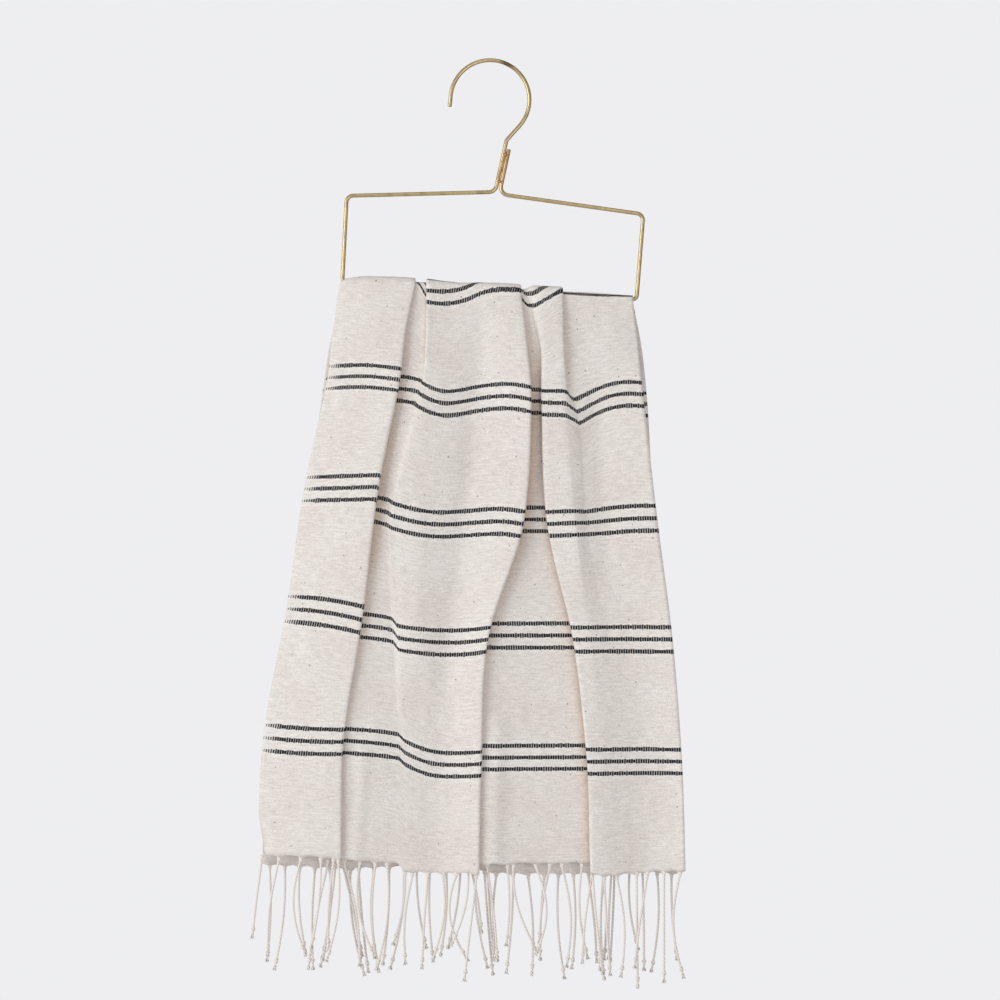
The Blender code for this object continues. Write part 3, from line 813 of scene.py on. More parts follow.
@dataclass
class Drape:
    """The towel's drape: named folds on sections, smooth curves across and down them."""

    hanger: WireHanger
    length: float = 1010.0
    thick: float = 1.2
    gap: float = 0.5
    shoulder: float = 1.1
    turn_fall_share: float = 0.2
    yoke_share: float = 0.48
    bar_stack: float = 2.0
    back_lift: tuple = (1.0, 0.95, 0.92, 0.88, 0.85, 0.85, 0.85)
    back_shift: tuple = (0.0, 3.0, 6.0, 9.0, 12.0, 14.0, 14.0)
    back_left_edge: tuple = (0.0, -2.0, -5.0, 1.0, 2.0, 3.0, 3.0)
    back_right_edge: tuple = (0.0, 4.0, 5.0, -1.0, -2.0, -3.0, -4.0)
    back_drawn_up: float = 8.0
    front: list = field(default_factory=list)
    back: list = field(default_factory=list)

    def __post_init__(self) -> None:
        """Work out the control points of both halves."""
        self.rest = self.hanger.wire / 2 + self.gap + self.thick / 2
        count = len(SECTION_WOVEN)
        self.front = [self.front_section(k) for k in range(count)]
        self.back = [self.back_section(k) for k in range(count)]

    def section_falls(self, across: tuple, falls: tuple) -> tuple:
        """Falls of a line at all sections: the bar's axis, the yoke, then the table's own."""
        at_bar = self.hanger.bar_fall(across[0])
        yoke = at_bar + (falls[0] - at_bar) * self.yoke_share
        return (at_bar, yoke) + tuple(falls)

    def turn_points(self, before: Vector, corner: Vector, corner_after: Vector,
                    after: Vector, apart: float) -> list[Vector]:
        """Two corners of a turn with a shoulder on each side, which keeps the turn round."""
        reach = self.shoulder * max(apart, 1.0)
        first = corner + (before - corner).normalized() * reach
        last = corner_after + (after - corner_after).normalized() * reach
        return [first, corner, corner_after, last]

    def pleat_points(self, pleat: Pleat, k: int, before: Vector,
                     after: Vector) -> list[Vector]:
        """Control points (across, lift, fall) of a pleat at one section, left to right.

        Args:
            pleat: The pleat.
            k: The section's number.
            before: The neighbouring point on its left.
            after: The neighbouring point on its right.

        Returns:
            Nine control points.
        """
        left = self.section_falls(pleat.edge, pleat.fall_left)[k]
        right = self.section_falls(pleat.edge, pleat.fall_right)[k]
        apart = pleat.apart[k]
        edge = pleat.edge[k]
        tuck = edge - pleat.faces * pleat.depth[k]
        over, under = (left, right) if pleat.faces > 0 else (right, left)
        change = (under - over) * self.turn_fall_share
        top = Vector((edge, pleat.lift[k], over))
        top_back = Vector((edge, pleat.lift[k] - apart, over + change))
        tuck_back = Vector((tuck, pleat.turn[k] + apart, under - change))
        tuck_front = Vector((tuck, pleat.turn[k], under))
        foot = Vector((edge - pleat.faces * apart, pleat.foot[k], under))
        if pleat.depth[k] < 0:
            foot.x = tuck
            points = [top.lerp(foot, n / (PLEAT_CONTROLS - 1))
                      for n in range(PLEAT_CONTROLS)]
        else:
            outer = before if pleat.faces > 0 else after
            points = self.turn_points(outer, top, top_back, tuck_back, apart)
            points += self.turn_points(top_back, tuck_back, tuck_front, foot, apart)
            points.append(foot)
        return points if pleat.faces > 0 else points[::-1]

    def near_point(self, fold: Fold, k: int) -> Vector:
        """The point of a fold that its neighbour's top layer runs towards."""
        if isinstance(fold, Line):
            fall = self.section_falls(fold.across, fold.fall)[k]
            return Vector((fold.across[k], fold.lift[k], fall))
        fall = self.section_falls(fold.edge, fold.fall_left)[k]
        return Vector((fold.edge[k], fold.lift[k], fall))

    def front_section(self, k: int) -> list[Vector]:
        """Control points of the front half at a section, from selvedge to selvedge."""
        points = []
        for index, fold in enumerate(FOLDS):
            if isinstance(fold, Line):
                points.append(self.near_point(fold, k))
            else:
                before = self.near_point(FOLDS[index - 1], k)
                after = self.near_point(FOLDS[index + 1], k)
                points += self.pleat_points(fold, k, before, after)
        if k == 0:
            for point in points:
                point.z = self.hanger.bar_fall(point.x)
        return points

    def hidden_length(self, c: int) -> float:
        """Woven length of the back half below the bar at a control point."""
        at_bar, hem = self.front[0][c], self.front[-1][c]
        wrap = math.pi * (self.rest + self.bar_stack)
        return self.length - (hem.z - self.hanger.bar_fall(at_bar.x)) - wrap

    def back_section(self, k: int) -> list[Vector]:
        """Control points of the back half at a section: the front's folds, flatter."""
        points = []
        left, right = self.front[k][0].x, self.front[k][-1].x
        for c, front in enumerate(self.front[k]):
            share = (front.x - left) / (right - left)
            shift = 4 * share * (1 - share) * self.back_shift[k]
            shift += (1 - share) ** 4 * self.back_left_edge[k]
            shift += share ** 4 * self.back_right_edge[k]
            fall = self.hanger.bar_fall(self.front[0][c].x)
            fall += self.hidden_length(c) * SECTION_WOVEN[k] / SECTION_WOVEN[-1]
            fall -= self.back_drawn_up * share ** 2 * k / (len(SECTION_WOVEN) - 1)
            points.append(Vector((front.x + shift, front.y * self.back_lift[k], fall)))
        return points

    def grid(self, side: Side) -> list[list[Vector]]:
        """Control points of one half."""
        return self.front if side is Side.FRONT else self.back

    def along(self, side: Side, where: float) -> list[Vector]:
        """Control points at a fractional section, on a smooth curve down each line.

        Args:
            side: Which half.
            where: The section's number, 0 at the bar.

        Returns:
            One point for each control.
        """
        grid = self.grid(side)
        k = min(int(where), len(grid) - 2)
        t = where - k
        span = SECTION_WOVEN[k + 1] - SECTION_WOVEN[k]

        def slope(at: int, c: int) -> Vector:
            low, high = max(at - 1, 0), min(at + 1, len(grid) - 1)
            return (grid[high][c] - grid[low][c]) / (SECTION_WOVEN[high] - SECTION_WOVEN[low])

        h00 = (1 + 2 * t) * (1 - t) ** 2
        h10 = t * (1 - t) ** 2
        h01 = t * t * (3 - 2 * t)
        h11 = t * t * (t - 1)
        return [grid[k][c] * h00 + slope(k, c) * span * h10
                + grid[k + 1][c] * h01 + slope(k + 1, c) * span * h11
                for c in range(len(grid[k]))]

    def hanging(self, point: Vector, side: Side) -> Vector:
        """Place of a section point on one half, in metres."""
        y = side.value * (self.rest + point.y)
        return Vector((point.x * MM, y * MM, -point.z * MM))

    def over_bar(self, point: Vector, angle: float) -> Vector:
        """Place of a bar section's point where it passes over the wire at an angle."""
        reach = self.rest + point.y
        y, fall = math.sin(angle) * reach, point.z - math.cos(angle) * reach
        return Vector((point.x * MM, y * MM, -fall * MM))


def across(controls: list, where: float):
    """Follow a uniform cubic B-spline through points or plain numbers.

    Args:
        controls: The control points, or numbers.
        where: The fractional number of a control.

    Returns:
        The curve's point, or number, there.
    """
    padded = [controls[0] * 2 - controls[1]] + controls + [controls[-1] * 2 - controls[-2]]
    i = min(int(where), len(controls) - 2)
    t = where - i
    a, b, c, d = padded[i:i + 4]
    return (a * (1 - t) ** 3 + b * (3 * t ** 3 - 6 * t * t + 4)
            + c * (-3 * t ** 3 + 3 * t * t + 3 * t + 1) + d * t ** 3) / 6


class Cord(NamedTuple):
    """A cord in its place: its root, the hem's level direction there and how it hangs."""

    root: Vector
    tangent: Vector
    strand: Strand
    layer: float


@dataclass
class Hem:
    """One hem's middle line, where its cords start and how each one hangs, as in the part."""

    drape: Drape
    side: Side
    cord: float = 2.0
    knot: float = 4.0
    knot_long: float = 6.0
    strip_height: float = 2.0
    strip_gap: float = 0.5
    steep_gap: float = 1.0
    steepest: float = 2.5
    root_move: float = 0.4
    root_moves: int = 21
    layers: tuple = (0.0, 2.6, 5.2, -2.0, 7.8, 10.4)
    clear: float = 0.1
    space_steps: int = 24
    lean_curve: float = 1.3
    gathered_share: float = 0.5
    back_length: float = 80.0
    back_uneven: float = 9.0
    back_bow: float = 3.0
    back_waves: tuple = (1.7, 0.6, 2.3)
    path: list = field(default_factory=list)

    def __post_init__(self) -> None:
        """Measure the hem and place its cords."""
        controls = self.drape.grid(self.side)[-1]
        length = 0.0
        for c in range(len(controls)):
            spot = self.drape.hanging(across(controls, c), self.side)
            if self.path:
                length += (spot - self.path[-1][1]).length
            self.path.append((length, spot))
        self.strands = FRONT_STRANDS if self.side is Side.FRONT else self.back_strands()
        self.starts = self.root_starts()

    def spot_at(self, length: float) -> Vector:
        """Point of the hem's middle line at a length along it."""
        length = min(max(length, 0.0), self.path[-1][0])
        for (low, start), (high, end) in zip(self.path, self.path[1:]):
            if length <= high:
                return start.lerp(end, (length - low) / (high - low))
        return self.path[-1][1]

    def along_at(self, where: float) -> float:
        """Length along the hem, in metres, at a fractional control number."""
        k = min(int(where), len(self.path) - 2)
        low, high = self.path[k][0], self.path[k + 1][0]
        return low + (high - low) * (where - k)

    def under(self, length: float) -> tuple[Vector, Vector]:
        """Point under the cords' fused strip at a length along the hem.

        Args:
            length: Length along the hem, in metres.

        Returns:
            The point, and the hem's level direction there.
        """
        step = self.drape.thick / 2 * MM
        along = self.spot_at(length + step) - self.spot_at(length - step)
        level = Vector((along.x, along.y, 0.0))
        steep = min(along.length / level.length, self.steepest)
        drop = self.strip_gap * steep + self.steep_gap * (steep - 1) + self.strip_height
        return self.spot_at(length) - Vector((0.0, 0.0, drop * MM)), level.normalized()

    def root_starts(self) -> list[float]:
        """Lengths along the hem where the cords start, each clear of the hem's bends.

        Returns:
            One length for each cord, in metres.
        """
        root = self.cord * MM
        margin = self.strip_gap * MM
        pitch = self.path[-1][0] / len(self.strands)
        bends = [length for length, _ in self.path]
        starts = []
        for n, strand in enumerate(self.strands):
            start = pitch * (n + 0.5) + strand.shift * MM - root / 2
            moves = [(k + 1) // 2 * (-1) ** k * self.root_move * MM
                     for k in range(self.root_moves)]
            clear = [start + move for move in moves
                     if not any(start + move - margin < bend < start + move + root + margin
                                for bend in bends)]
            starts.append(clear[0] if clear else start)
        return starts

    def back_strands(self) -> list[Strand]:
        """The back hem's cords, each leaning half of the way to its gathering place.

        Returns:
            As many cords as the front hem has.
        """
        count = len(FRONT_STRANDS)
        bow_step, bow_start, length_step = self.back_waves
        strands = []
        for n in range(count):
            root = self.spot_at(self.path[-1][0] * (n + 0.5) / count).x / MM
            nearest = min(GATHERED, key=lambda place: abs(place - root))
            bow = self.back_bow * math.sin(n * bow_step + bow_start)
            length = self.back_length + self.back_uneven * math.sin(n * length_step)
            strands.append(Strand(0, (nearest - root) * self.gathered_share, bow, length))
        return strands

    def spot(self, root: Vector, strand: Strand, layer: float, share: float) -> Vector:
        """Middle of a cord at a share of its length: it drops, leans, bows and moves out.

        Args:
            root: The cord's root.
            strand: Its row of the table.
            layer: How far it moves out of the hem's plane, in millimetres.
            share: Share of its length; below 0 it goes straight up into the hem.

        Returns:
            The place, in metres.
        """
        if share < 0:
            return root - Vector((0.0, 0.0, strand.length * share * MM))
        sideways = strand.lean * share ** self.lean_curve
        sideways += strand.bow * math.sin(math.pi * share)
        outwards = layer * math.sin(math.pi * min(share, 0.5))
        return root + Vector((sideways * MM, outwards * MM, -strand.length * share * MM))

    def space(self, root: Vector, strand: Strand, layer: float) -> list[tuple[Vector, float]]:
        """Points down a cord, each with the radius of the space that it takes there."""
        points = []
        for n in range(self.space_steps + 1):
            share = n / self.space_steps
            in_knot = strand.length * (1 - share) < self.knot_long
            half = (self.knot if in_knot else self.cord) / 2
            points.append((self.spot(root, strand, layer, share), half * math.sqrt(2) * MM))
        return points

    def cords(self) -> list[Cord]:
        """Lay the cords one by one, each in the first layer that clears those before it.

        Returns:
            The cords, from left to right.
        """
        taken: list = []
        laid = []
        for strand, start in zip(self.strands, self.starts):
            left, tangent = self.under(start)
            right, _ = self.under(start + self.cord * MM)
            root = (left + right) / 2
            layers = [layer * self.side.value for layer in self.layers]
            spaces = [self.space(root, strand, layer) for layer in layers]
            rooms = [min(((spot - other).length - radius - other_radius
                          for space in taken for other, other_radius in space
                          for spot, radius in candidate), default=1.0)
                     for candidate in spaces]
            enough = [room for room in rooms if room > self.clear * MM]
            chosen = rooms.index(enough[0] if enough else max(rooms))
            taken.append(spaces[chosen])
            laid.append(Cord(root, tangent, strand, layers[chosen]))
        return laid


class Crease(NamedTuple):
    """A soft ridge or trough of the front, between two places given across and in fall."""

    start: tuple
    end: tuple
    width: float
    height: float


CREASES = (
    Crease((-56, 215), (-57, 250), 2.5, 1.2),
    Crease((-6, 220), (-16, 345), 12.0, -2.2),
    Crease((-18, 350), (-40, 530), 10.0, -1.6),
    Crease((-62, 380), (-64, 500), 9.0, 1.0),
    Crease((-85, 400), (-80, 520), 4.0, -1.3),
    Crease((69, 320), (75, 430), 7.0, 1.0),
    Crease((92, 300), (99, 440), 8.0, -1.3),
    Crease((5, 570), (1, 705), 8.0, 2.6),
    Crease((-110, 590), (-118, 705), 6.0, 1.8),
)


@dataclass
class TowelCloth:
    """The towel itself: one thin sheet, woven cotton, hung in half over the bar."""

    drape: Drape
    hems: tuple
    step_across: float = 3.5
    fewest: int = 2
    step_front: float = 3.6
    step_back: float = 10.0
    steps_over_bar: int = 8
    flat_width: float = 470.0
    uneven: float = 0.28
    uneven_size: float = 22.0
    uneven_long: float = 1.6
    uneven_noise: tuple = (0.6, 2.0, 3)
    bar_move_ends: tuple = (0.3, 2.0)
    scallop: float = 0.8
    scallop_reach: float = 9.0
    curl_wide: float = 13.0
    curl_tall: float = 42.0
    curl: tuple = (5.0, 7.0, 3.0)
    spread: float = 5.4
    spread_wide: float = 14.0
    # How far across and how deep the painted shade behind the folds reaches, in millimetres.
    fold_shade_reach: float = 17.0
    fold_shade_deep: float = 12.0

    def columns(self) -> list[float]:
        """Fractional control numbers of the mesh's columns, closest where the cloth turns.

        Returns:
            Numbers from 0 to the last control.
        """
        grids = self.drape.front + self.drape.back
        places: list[float] = []
        for c in range(len(grids[0]) - 1):
            longest = max((across(row, c + 1) - across(row, c)).length for row in grids)
            count = max(self.fewest, math.ceil(longest / self.step_across))
            places += [c + n / count for n in range(count)]
        return places + [float(len(grids[0]) - 1)]

    def bar_woven(self) -> list[float]:
        """Cloth that has come over the bar, at each control point."""
        values: list[float] = []
        for fold in FOLDS:
            values += [BAR_WOVEN[fold.name]] * (1 if isinstance(fold, Line) else PLEAT_CONTROLS)
        return values

    def row_places(self, step: float) -> list[float]:
        """Fractional sections of a half's rows below the bar."""
        places = []
        for k, (high, low) in enumerate(zip(SECTION_WOVEN, SECTION_WOVEN[1:])):
            count = math.ceil((low - high) / step)
            places += [k + (n + 1) / count for n in range(count)]
        return places

    def woven_at(self, where: float) -> float:
        """Woven distance below the bar at a fractional section."""
        k = min(int(where), len(SECTION_WOVEN) - 2)
        return SECTION_WOVEN[k] + (SECTION_WOVEN[k + 1] - SECTION_WOVEN[k]) * (where - k)

    def sheet_rows(self) -> list[list[tuple[Vector, float]]]:
        """All rows of the sheet's middle surface, from the back hem to the front hem.

        Returns:
            For each row, each column's place and woven distance.
        """
        drape = self.drape
        columns = self.columns()
        moved = [across(self.bar_woven(), c) for c in columns]
        wrap = math.pi * (drape.rest + drape.bar_stack)
        hidden = [drape.hidden_length(c) for c in range(len(drape.front[0]))]
        hidden = [across(hidden, c) for c in columns]
        rows = []
        for where in reversed(self.row_places(self.step_back)):
            controls = drape.along(Side.BACK, where)
            woven = self.woven_at(where)
            share = woven / SECTION_WOVEN[-1]
            fade = 1 - smoothstep(*self.bar_move_ends, where)
            rows.append([(drape.hanging(across(controls, c), Side.BACK),
                          move * fade - wrap - long * share)
                         for c, move, long in zip(columns, moved, hidden)])
        for step in range(self.steps_over_bar + 1):
            turn = step / self.steps_over_bar
            angle = math.pi / 2 - math.pi * turn
            rows.append([(self.at_corner(drape.over_bar(across(drape.front[0], c), angle),
                                         smoothstep(0.5, 1.0, turn)),
                          move - wrap * (1 - turn)) for c, move in zip(columns, moved)])
        for where in self.row_places(self.step_front):
            controls = drape.along(Side.FRONT, where)
            fade = 1 - smoothstep(*self.bar_move_ends, where)
            woven = self.woven_at(where)
            near = 1 - smoothstep(0.0, 1.0, where)
            rows.append([(self.at_corner(drape.hanging(across(controls, c), Side.FRONT), near),
                          woven + move * fade) for c, move in zip(columns, moved)])
        return rows

    def at_corner(self, spot: Vector, share: float) -> Vector:
        """Spread the front's left edge over the wire's corner, by a share of the full move."""
        from_left = spot.x / MM - self.drape.front[0][0].x
        move = self.spread * share * math.exp(-max(from_left, 0.0) / self.spread_wide)
        return spot - Vector((move * MM, 0.0, 0.0))

    def hem_shift(self, hem: Hem, where: float, to_hem: float) -> Vector:
        """How far the cords pull the hem into scallops, and the curl of its left corner.

        Args:
            hem: The nearer hem.
            where: The column's fractional control number.
            to_hem: Woven distance from the hem, in millimetres.

        Returns:
            The shift, in millimetres.
        """
        along = hem.along_at(where) / MM
        pitch = hem.path[-1][0] / MM / len(hem.strands)
        away = min(abs(along - start / MM - hem.cord / 2) for start in hem.starts)
        near = 1 - smoothstep(0.0, self.scallop_reach, to_hem)
        pull = self.scallop * near * math.cos(2 * math.pi * min(away / pitch, 0.5))
        shift = Vector((0.0, 0.0, -pull))
        if hem.side is Side.FRONT and along < self.curl_wide:
            share = (1 - along / self.curl_wide) ** 2
            shift += Vector(self.curl) * share * (1 - smoothstep(0.0, self.curl_tall, to_hem))
        return shift

    def fold_shade(self, row: list) -> np.ndarray:
        """How deep each place of a row lies behind the folds beside it, from 0 to 1: the share of
        painted warm shade there.

        Args:
            row: Each column's place and woven distance.

        Returns:
            One value for each column.
        """
        out = np.array([abs(spot.y) / MM for spot, _ in row])
        at = np.array([spot.x / MM for spot, _ in row])
        close = np.clip(1 - np.abs(at[:, None] - at[None, :]) / self.fold_shade_reach, 0, 1)
        deep = (out[None, :] - out[:, None]) * close / self.fold_shade_deep
        return np.clip(deep.max(axis=1), 0, 1) ** 2

    def relief(self, spot: Vector, woven: float) -> float:
        """How far the surface stands out at a spot: small unevenness and the soft creases.

        Args:
            spot: The place on the smooth drape, in metres.
            woven: Its woven distance, in millimetres.

        Returns:
            Millimetres outwards.
        """
        here = spot / MM
        wide = Vector((here.x / self.uneven_size, here.y / self.uneven_size,
                       here.z / (self.uneven_size * self.uneven_long)))
        rise = self.uneven * noise.fractal(wide, *self.uneven_noise)
        if here.y < 0 and woven > 0:
            for crease in CREASES:
                start, end = Vector(crease.start), Vector(crease.end)
                flat = Vector((here.x, -here.z))
                line = end - start
                t = (flat - start).dot(line) / line.length_squared
                near = start + line * min(max(t, 0.0), 1.0)
                away = (flat - near).length / crease.width
                rise += crease.height * math.exp(-away * away)
        return rise

    def build(self, finish: Material) -> Object:
        """Lay a grid on the drape, roughen it and give it its thickness.

        Args:
            finish: The cotton.

        Returns:
            The towel.
        """
        rows = self.sheet_rows()
        count = len(rows[0])
        form = bmesh.new()
        bmesh.ops.create_grid(form, x_segments=count - 1, y_segments=len(rows) - 1, size=1.0)
        form.verts.ensure_lookup_table()
        cloth = form.loops.layers.uv.new("cloth")
        # The mesh layer that holds the share of painted shade behind the folds.
        depth = form.verts.layers.float.new("fold_shade")
        columns = self.columns()
        flat = []
        for r, row in enumerate(rows):
            along = 0.0
            fold_shade_share = self.fold_shade(row)
            for c, (spot, woven) in enumerate(row):
                if c:
                    along += (spot - row[c - 1][0]).length
                front = spot.y < 0
                to_hem = abs(rows[-1 if front else 0][c][1] - woven)
                hem = self.hems[0 if front else 1]
                vert = form.verts[r * count + c]
                vert.co = spot + self.hem_shift(hem, columns[c], to_hem) * MM
                # Share of painted shade behind the folds, which the cotton's colour reads.
                vert[depth] = fold_shade_share[c]
                flat.append([along, woven * MM])
            for c in range(count):
                flat[r * count + c][0] *= self.flat_width * MM / along
        form.normal_update()
        shifts = []
        for vert in form.verts:
            outwards = vert.normal if vert.normal.y * vert.co.y > 0 else -vert.normal
            rise = self.relief(vert.co, flat[vert.index][1] / MM)
            shifts.append(outwards * rise * MM)
        for vert, shift in zip(form.verts, shifts):
            vert.co += shift
        for face in form.faces:
            for loop in face.loops:
                loop[cloth].uv = flat[loop.vert.index]
        made = link_object("towel_cloth_woven", form, finish)
        thick = made.modifiers.new("thickness", "SOLIDIFY")
        thick.thickness = self.drape.thick * MM
        thick.offset = 0.0
        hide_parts("towel_cloth")
        return made


@dataclass
class KnottedFringe:
    """One hem's fringe: warp ends twisted to two-ply cords, each knotted near its end."""

    hem: Hem
    name: str
    node: str
    cord: float = 2.15
    sides: int = 12
    turn_pitch: float = 6.4
    rings_per_turn: int = 8
    waist: float = 0.56
    lobe_curve: float = 0.8
    spin: float = 2.4
    fray_every: int = 3
    fray_out: tuple = (0.4, -0.25)
    fray_down: tuple = (1.6, -0.5)
    plain_length: float = 74.0
    root_up: float = 3.6
    fan_long: float = 7.0
    fan_wide: float = 2.3
    fan_thick: float = 0.45
    knot_rings: tuple = ((0.0, 1.0), (0.5, 1.35), (1.0, 1.75), (1.7, 2.0), (2.4, 2.05),
                         (3.1, 1.95), (3.8, 1.7), (4.4, 1.3), (4.8, 0.95))
    tuft_rings: tuple = ((5.6, 0.95), (7.0, 1.2), (8.4, 1.5), (9.6, 1.6))

    def template(self) -> Mesh:
        """One straight cord that hangs down from the origin, with its knot and tuft.

        Returns:
            The cord, in millimetres, from root_up above the origin to its frayed end.
        """
        form = bmesh.new()
        groove_shade = form.verts.layers.float.new("groove_shade")
        bmesh.ops.create_circle(form, cap_ends=True, segments=self.sides, radius=1.0)
        step = self.turn_pitch / self.rings_per_turn
        whole = self.root_up + self.plain_length
        downs = [n * step - self.root_up for n in range(int(whole / step) + 1)]
        rings = [(down, self.cord / 2, 0.0) for down in downs]
        end = self.plain_length
        rings += [(end + down, radius, 0.0) for down, radius in self.knot_rings]
        last = self.tuft_rings[-1][0]
        rings += [(end + down, radius, (down / last) ** 3) for down, radius in self.tuft_rings]
        ring = form.faces[:][0]
        corners = [math.cos(2 * math.pi * n / self.sides) for n in range(self.sides)]
        centre = Vector((0.0, 0.0, 0.0))
        turned = 0.0
        for number, (down, radius, fray) in enumerate(rings):
            if number:
                ring = bmesh.ops.extrude_discrete_faces(form, faces=[ring])["faces"][0]
            turn = 2 * math.pi * down / self.turn_pitch
            for vert in ring.verts:
                unit = vert.co - centre
                n = round((math.atan2(unit.y, unit.x) - turned) / (2 * math.pi) * self.sides)
                n %= self.sides
                lobe = self.waist + (1 - self.waist) * abs(corners[n]) ** self.lobe_curve
                angle = 2 * math.pi * n / self.sides + turn
                loose = 0 if n % self.fray_every == 0 else 1
                spread = radius * (lobe + fray * self.fray_out[loose])
                drop = down + fray * self.fray_down[loose]
                vert.co = Vector((math.cos(angle) * spread, math.sin(angle) * spread, -drop))
                # The share of painted shade: 1 in the grooves between the plies, 0 on their
                # crowns.
                vert[groove_shade] = 1 - (lobe - self.waist) / (1 - self.waist)
            centre = Vector((0.0, 0.0, -down))
            turned = turn
        bmesh.ops.recalc_face_normals(form, faces=form.faces)
        mesh = bpy.data.meshes.new(self.name + "_cord")
        form.to_mesh(mesh)
        form.free()
        return mesh

    def hung(self, cord: Cord, down: float, aside: Vector) -> Vector:
        """Place a point of the straight cord on a hanging one.

        Args:
            cord: The hanging cord.
            down: The point's distance below the root, in millimetres.
            aside: Its offset from the cord's middle, in millimetres.

        Returns:
            The place, in metres.
        """
        plain = cord.strand.length - self.tuft_rings[-1][0]
        if down > self.plain_length:
            down += plain - self.plain_length
        elif down > 0:
            down *= plain / self.plain_length
        share = down / cord.strand.length
        step = 0.5 / cord.strand.length
        middle = self.hem.spot(cord.root, cord.strand, cord.layer, share)
        way = (self.hem.spot(cord.root, cord.strand, cord.layer, share - step)
               - self.hem.spot(cord.root, cord.strand, cord.layer, share + step)).normalized()
        level = (cord.tangent - way * cord.tangent.dot(way)).normalized()
        fan = 1 - smoothstep(-self.root_up, self.fan_long - self.root_up, down)
        wide = 1 + (self.fan_wide - 1) * fan
        thick = 1 + (self.fan_thick - 1) * fan
        return middle + (level * aside.x * wide + way.cross(level) * aside.y * thick) * MM

    def build(self, finish: Material) -> Object:
        """Hang a bent copy of the straight cord from each root of the hem.

        Args:
            finish: The cord's cotton.

        Returns:
            The fringe.
        """
        straight = self.template()
        form = bmesh.new()
        for number, cord in enumerate(self.hem.cords()):
            first = len(form.verts)
            form.from_mesh(straight)
            form.verts.ensure_lookup_table()
            spin = Matrix.Rotation(number * self.spin, 3, "Z")
            for vert in form.verts[first:]:
                down = -vert.co.z
                vert.co = self.hung(cord, down, spin @ Vector((vert.co.x, vert.co.y, 0.0)))
        bpy.data.meshes.remove(straight)
        made = link_object(self.name, form, finish)
        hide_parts(self.node)
        return made


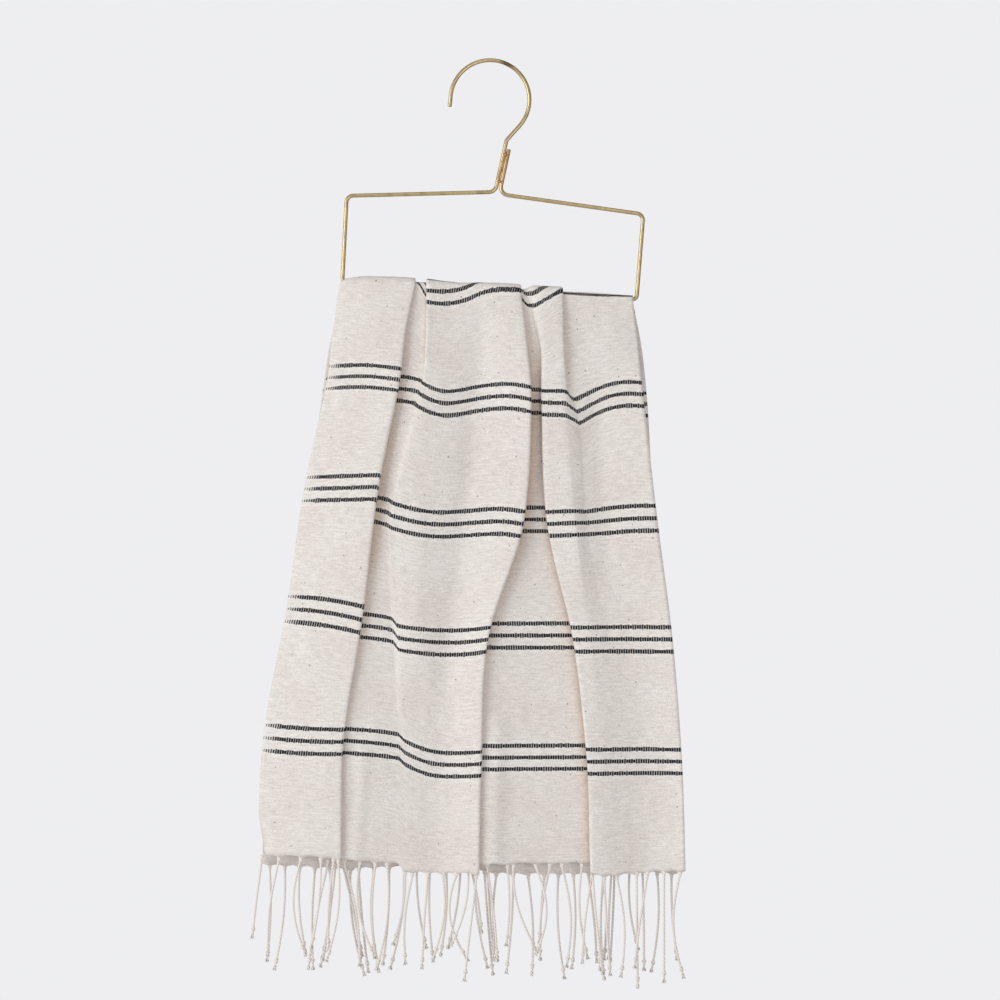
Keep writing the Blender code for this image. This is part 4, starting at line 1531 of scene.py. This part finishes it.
@dataclass
class Studio:
    """The plain pale studio: a floor, soft lights and the camera straight in front."""

    floor_fall: float = 1.15
    floor_radius: float = 1.4
    floor_sides: int = 96
    floor_colour: str = "E9E9EB"
    floor_roughness: float = 0.9
    view_centre: tuple = (0.0073, -0.377)
    picture_width: float = 0.861
    lens: float = 100.0
    sensor: float = 36.0
    backdrop: str = "EEEEF0"
    ambient: float = 0.42
    mirrored: float = 0.34
    lamps: tuple = (("key", (-2.15, -1.35, -0.1), 2.0, 38.0),
                    ("fill", (1.0, -2.5, -0.8), 1.8, 16.0),
                    ("top", (0.0, -1.3, 1.4), 1.4, 5.0))

    def build(self) -> None:
        """Make the floor, the world, the lights and the camera."""
        bpy.context.scene.view_settings.view_transform = "Standard"
        self.build_floor()
        self.build_world()
        for name, place, size, power in self.lamps:
            self.build_lamp(name, place, size, power)
        self.build_camera()

    def build_floor(self) -> None:
        """Lay the round floor well below the towel."""
        form = bmesh.new()
        bmesh.ops.create_circle(form, cap_ends=True, segments=self.floor_sides,
                                radius=self.floor_radius)
        bmesh.ops.translate(form, verts=form.verts, vec=(0.0, 0.0, -self.floor_fall))
        mesh = bpy.data.meshes.new("studio_floor")
        form.to_mesh(mesh)
        form.free()
        made, tree, shader = blank_material("pale studio floor")
        dress(tree, shader, {}, {"Base Color": linear(self.floor_colour),
                                 "Roughness": self.floor_roughness})
        mesh.materials.append(made)
        floor = bpy.data.objects.new("studio_floor", mesh)
        bpy.context.scene.collection.objects.link(floor)

    def build_world(self) -> None:
        """Surround the scene with the backdrop, dimmer as light and in mirrors than in view."""
        world = bpy.data.worlds.new("studio")
        world.use_nodes = True
        tree = world.node_tree
        path = add_node(tree, "ShaderNodeLightPath", {})
        around = ramp(tree, path.outputs["Is Glossy Ray"], 0.0, 1.0, self.ambient,
                      self.mirrored)
        strength = ramp(tree, path.outputs["Is Camera Ray"], 0.0, 1.0, around, 1.0)
        dress(tree, tree.nodes["Background"], {"Strength": strength},
              {"Color": linear(self.backdrop)})
        bpy.context.scene.world = world

    def build_lamp(self, name: str, place: tuple, size: float, power: float) -> None:
        """Hang one soft area light that faces the middle of the view.

        Args:
            name: The light's name.
            place: Where it hangs, in metres.
            size: Its side, in metres.
            power: Its power, in watts.
        """
        light = bpy.data.lights.new(name, "AREA")
        light.size = size
        light.energy = power
        lamp = bpy.data.objects.new(name, light)
        lamp.location = place
        target = Vector((self.view_centre[0], 0.0, self.view_centre[1]))
        lamp.rotation_euler = (target - lamp.location).to_track_quat("-Z", "Y").to_euler()
        bpy.context.scene.collection.objects.link(lamp)

    def build_camera(self) -> None:
        """Stand the camera straight in front, so far off that it takes in the whole picture."""
        lens = bpy.data.cameras.new("camera")
        lens.lens = self.lens
        lens.sensor_width = self.sensor
        camera = bpy.data.objects.new("camera", lens)
        away = self.picture_width * self.lens / self.sensor
        camera.location = (self.view_centre[0], -away, self.view_centre[1])
        camera.rotation_euler = (math.pi / 2, 0.0, 0.0)
        bpy.context.scene.collection.objects.link(camera)
        bpy.context.scene.camera = camera


def main() -> None:
    """Build every piece in order and report it."""
    hanger = WireHanger()
    wire = hanger.build_wire(DrawnBrass().make())
    log.info("hanger: %d faces", len(wire.data.polygons))
    braze = Braze().make()
    for node in ("braze_bead_upper", "braze_bead_lower"):
        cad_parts[node].data.materials[0] = braze
    hanger.build_seam(braze)
    drape = Drape(hanger)
    hems = (Hem(drape, Side.FRONT), Hem(drape, Side.BACK))
    cloth = TowelCloth(drape, hems)
    towel = cloth.build(HandwovenCotton().make())
    log.info("towel: %d faces", len(towel.data.polygons))
    cotton = TwistedCotton().make()
    for hem, name, node in ((hems[0], "front_knotted_fringe", "fringe_front"),
                            (hems[1], "back_knotted_fringe", "fringe_back")):
        fringe = KnottedFringe(hem, name, node).build(cotton)
        log.info("%s: %d faces", name, len(fringe.data.polygons))
    Studio().build()


if __name__ == "__main__":
    main()
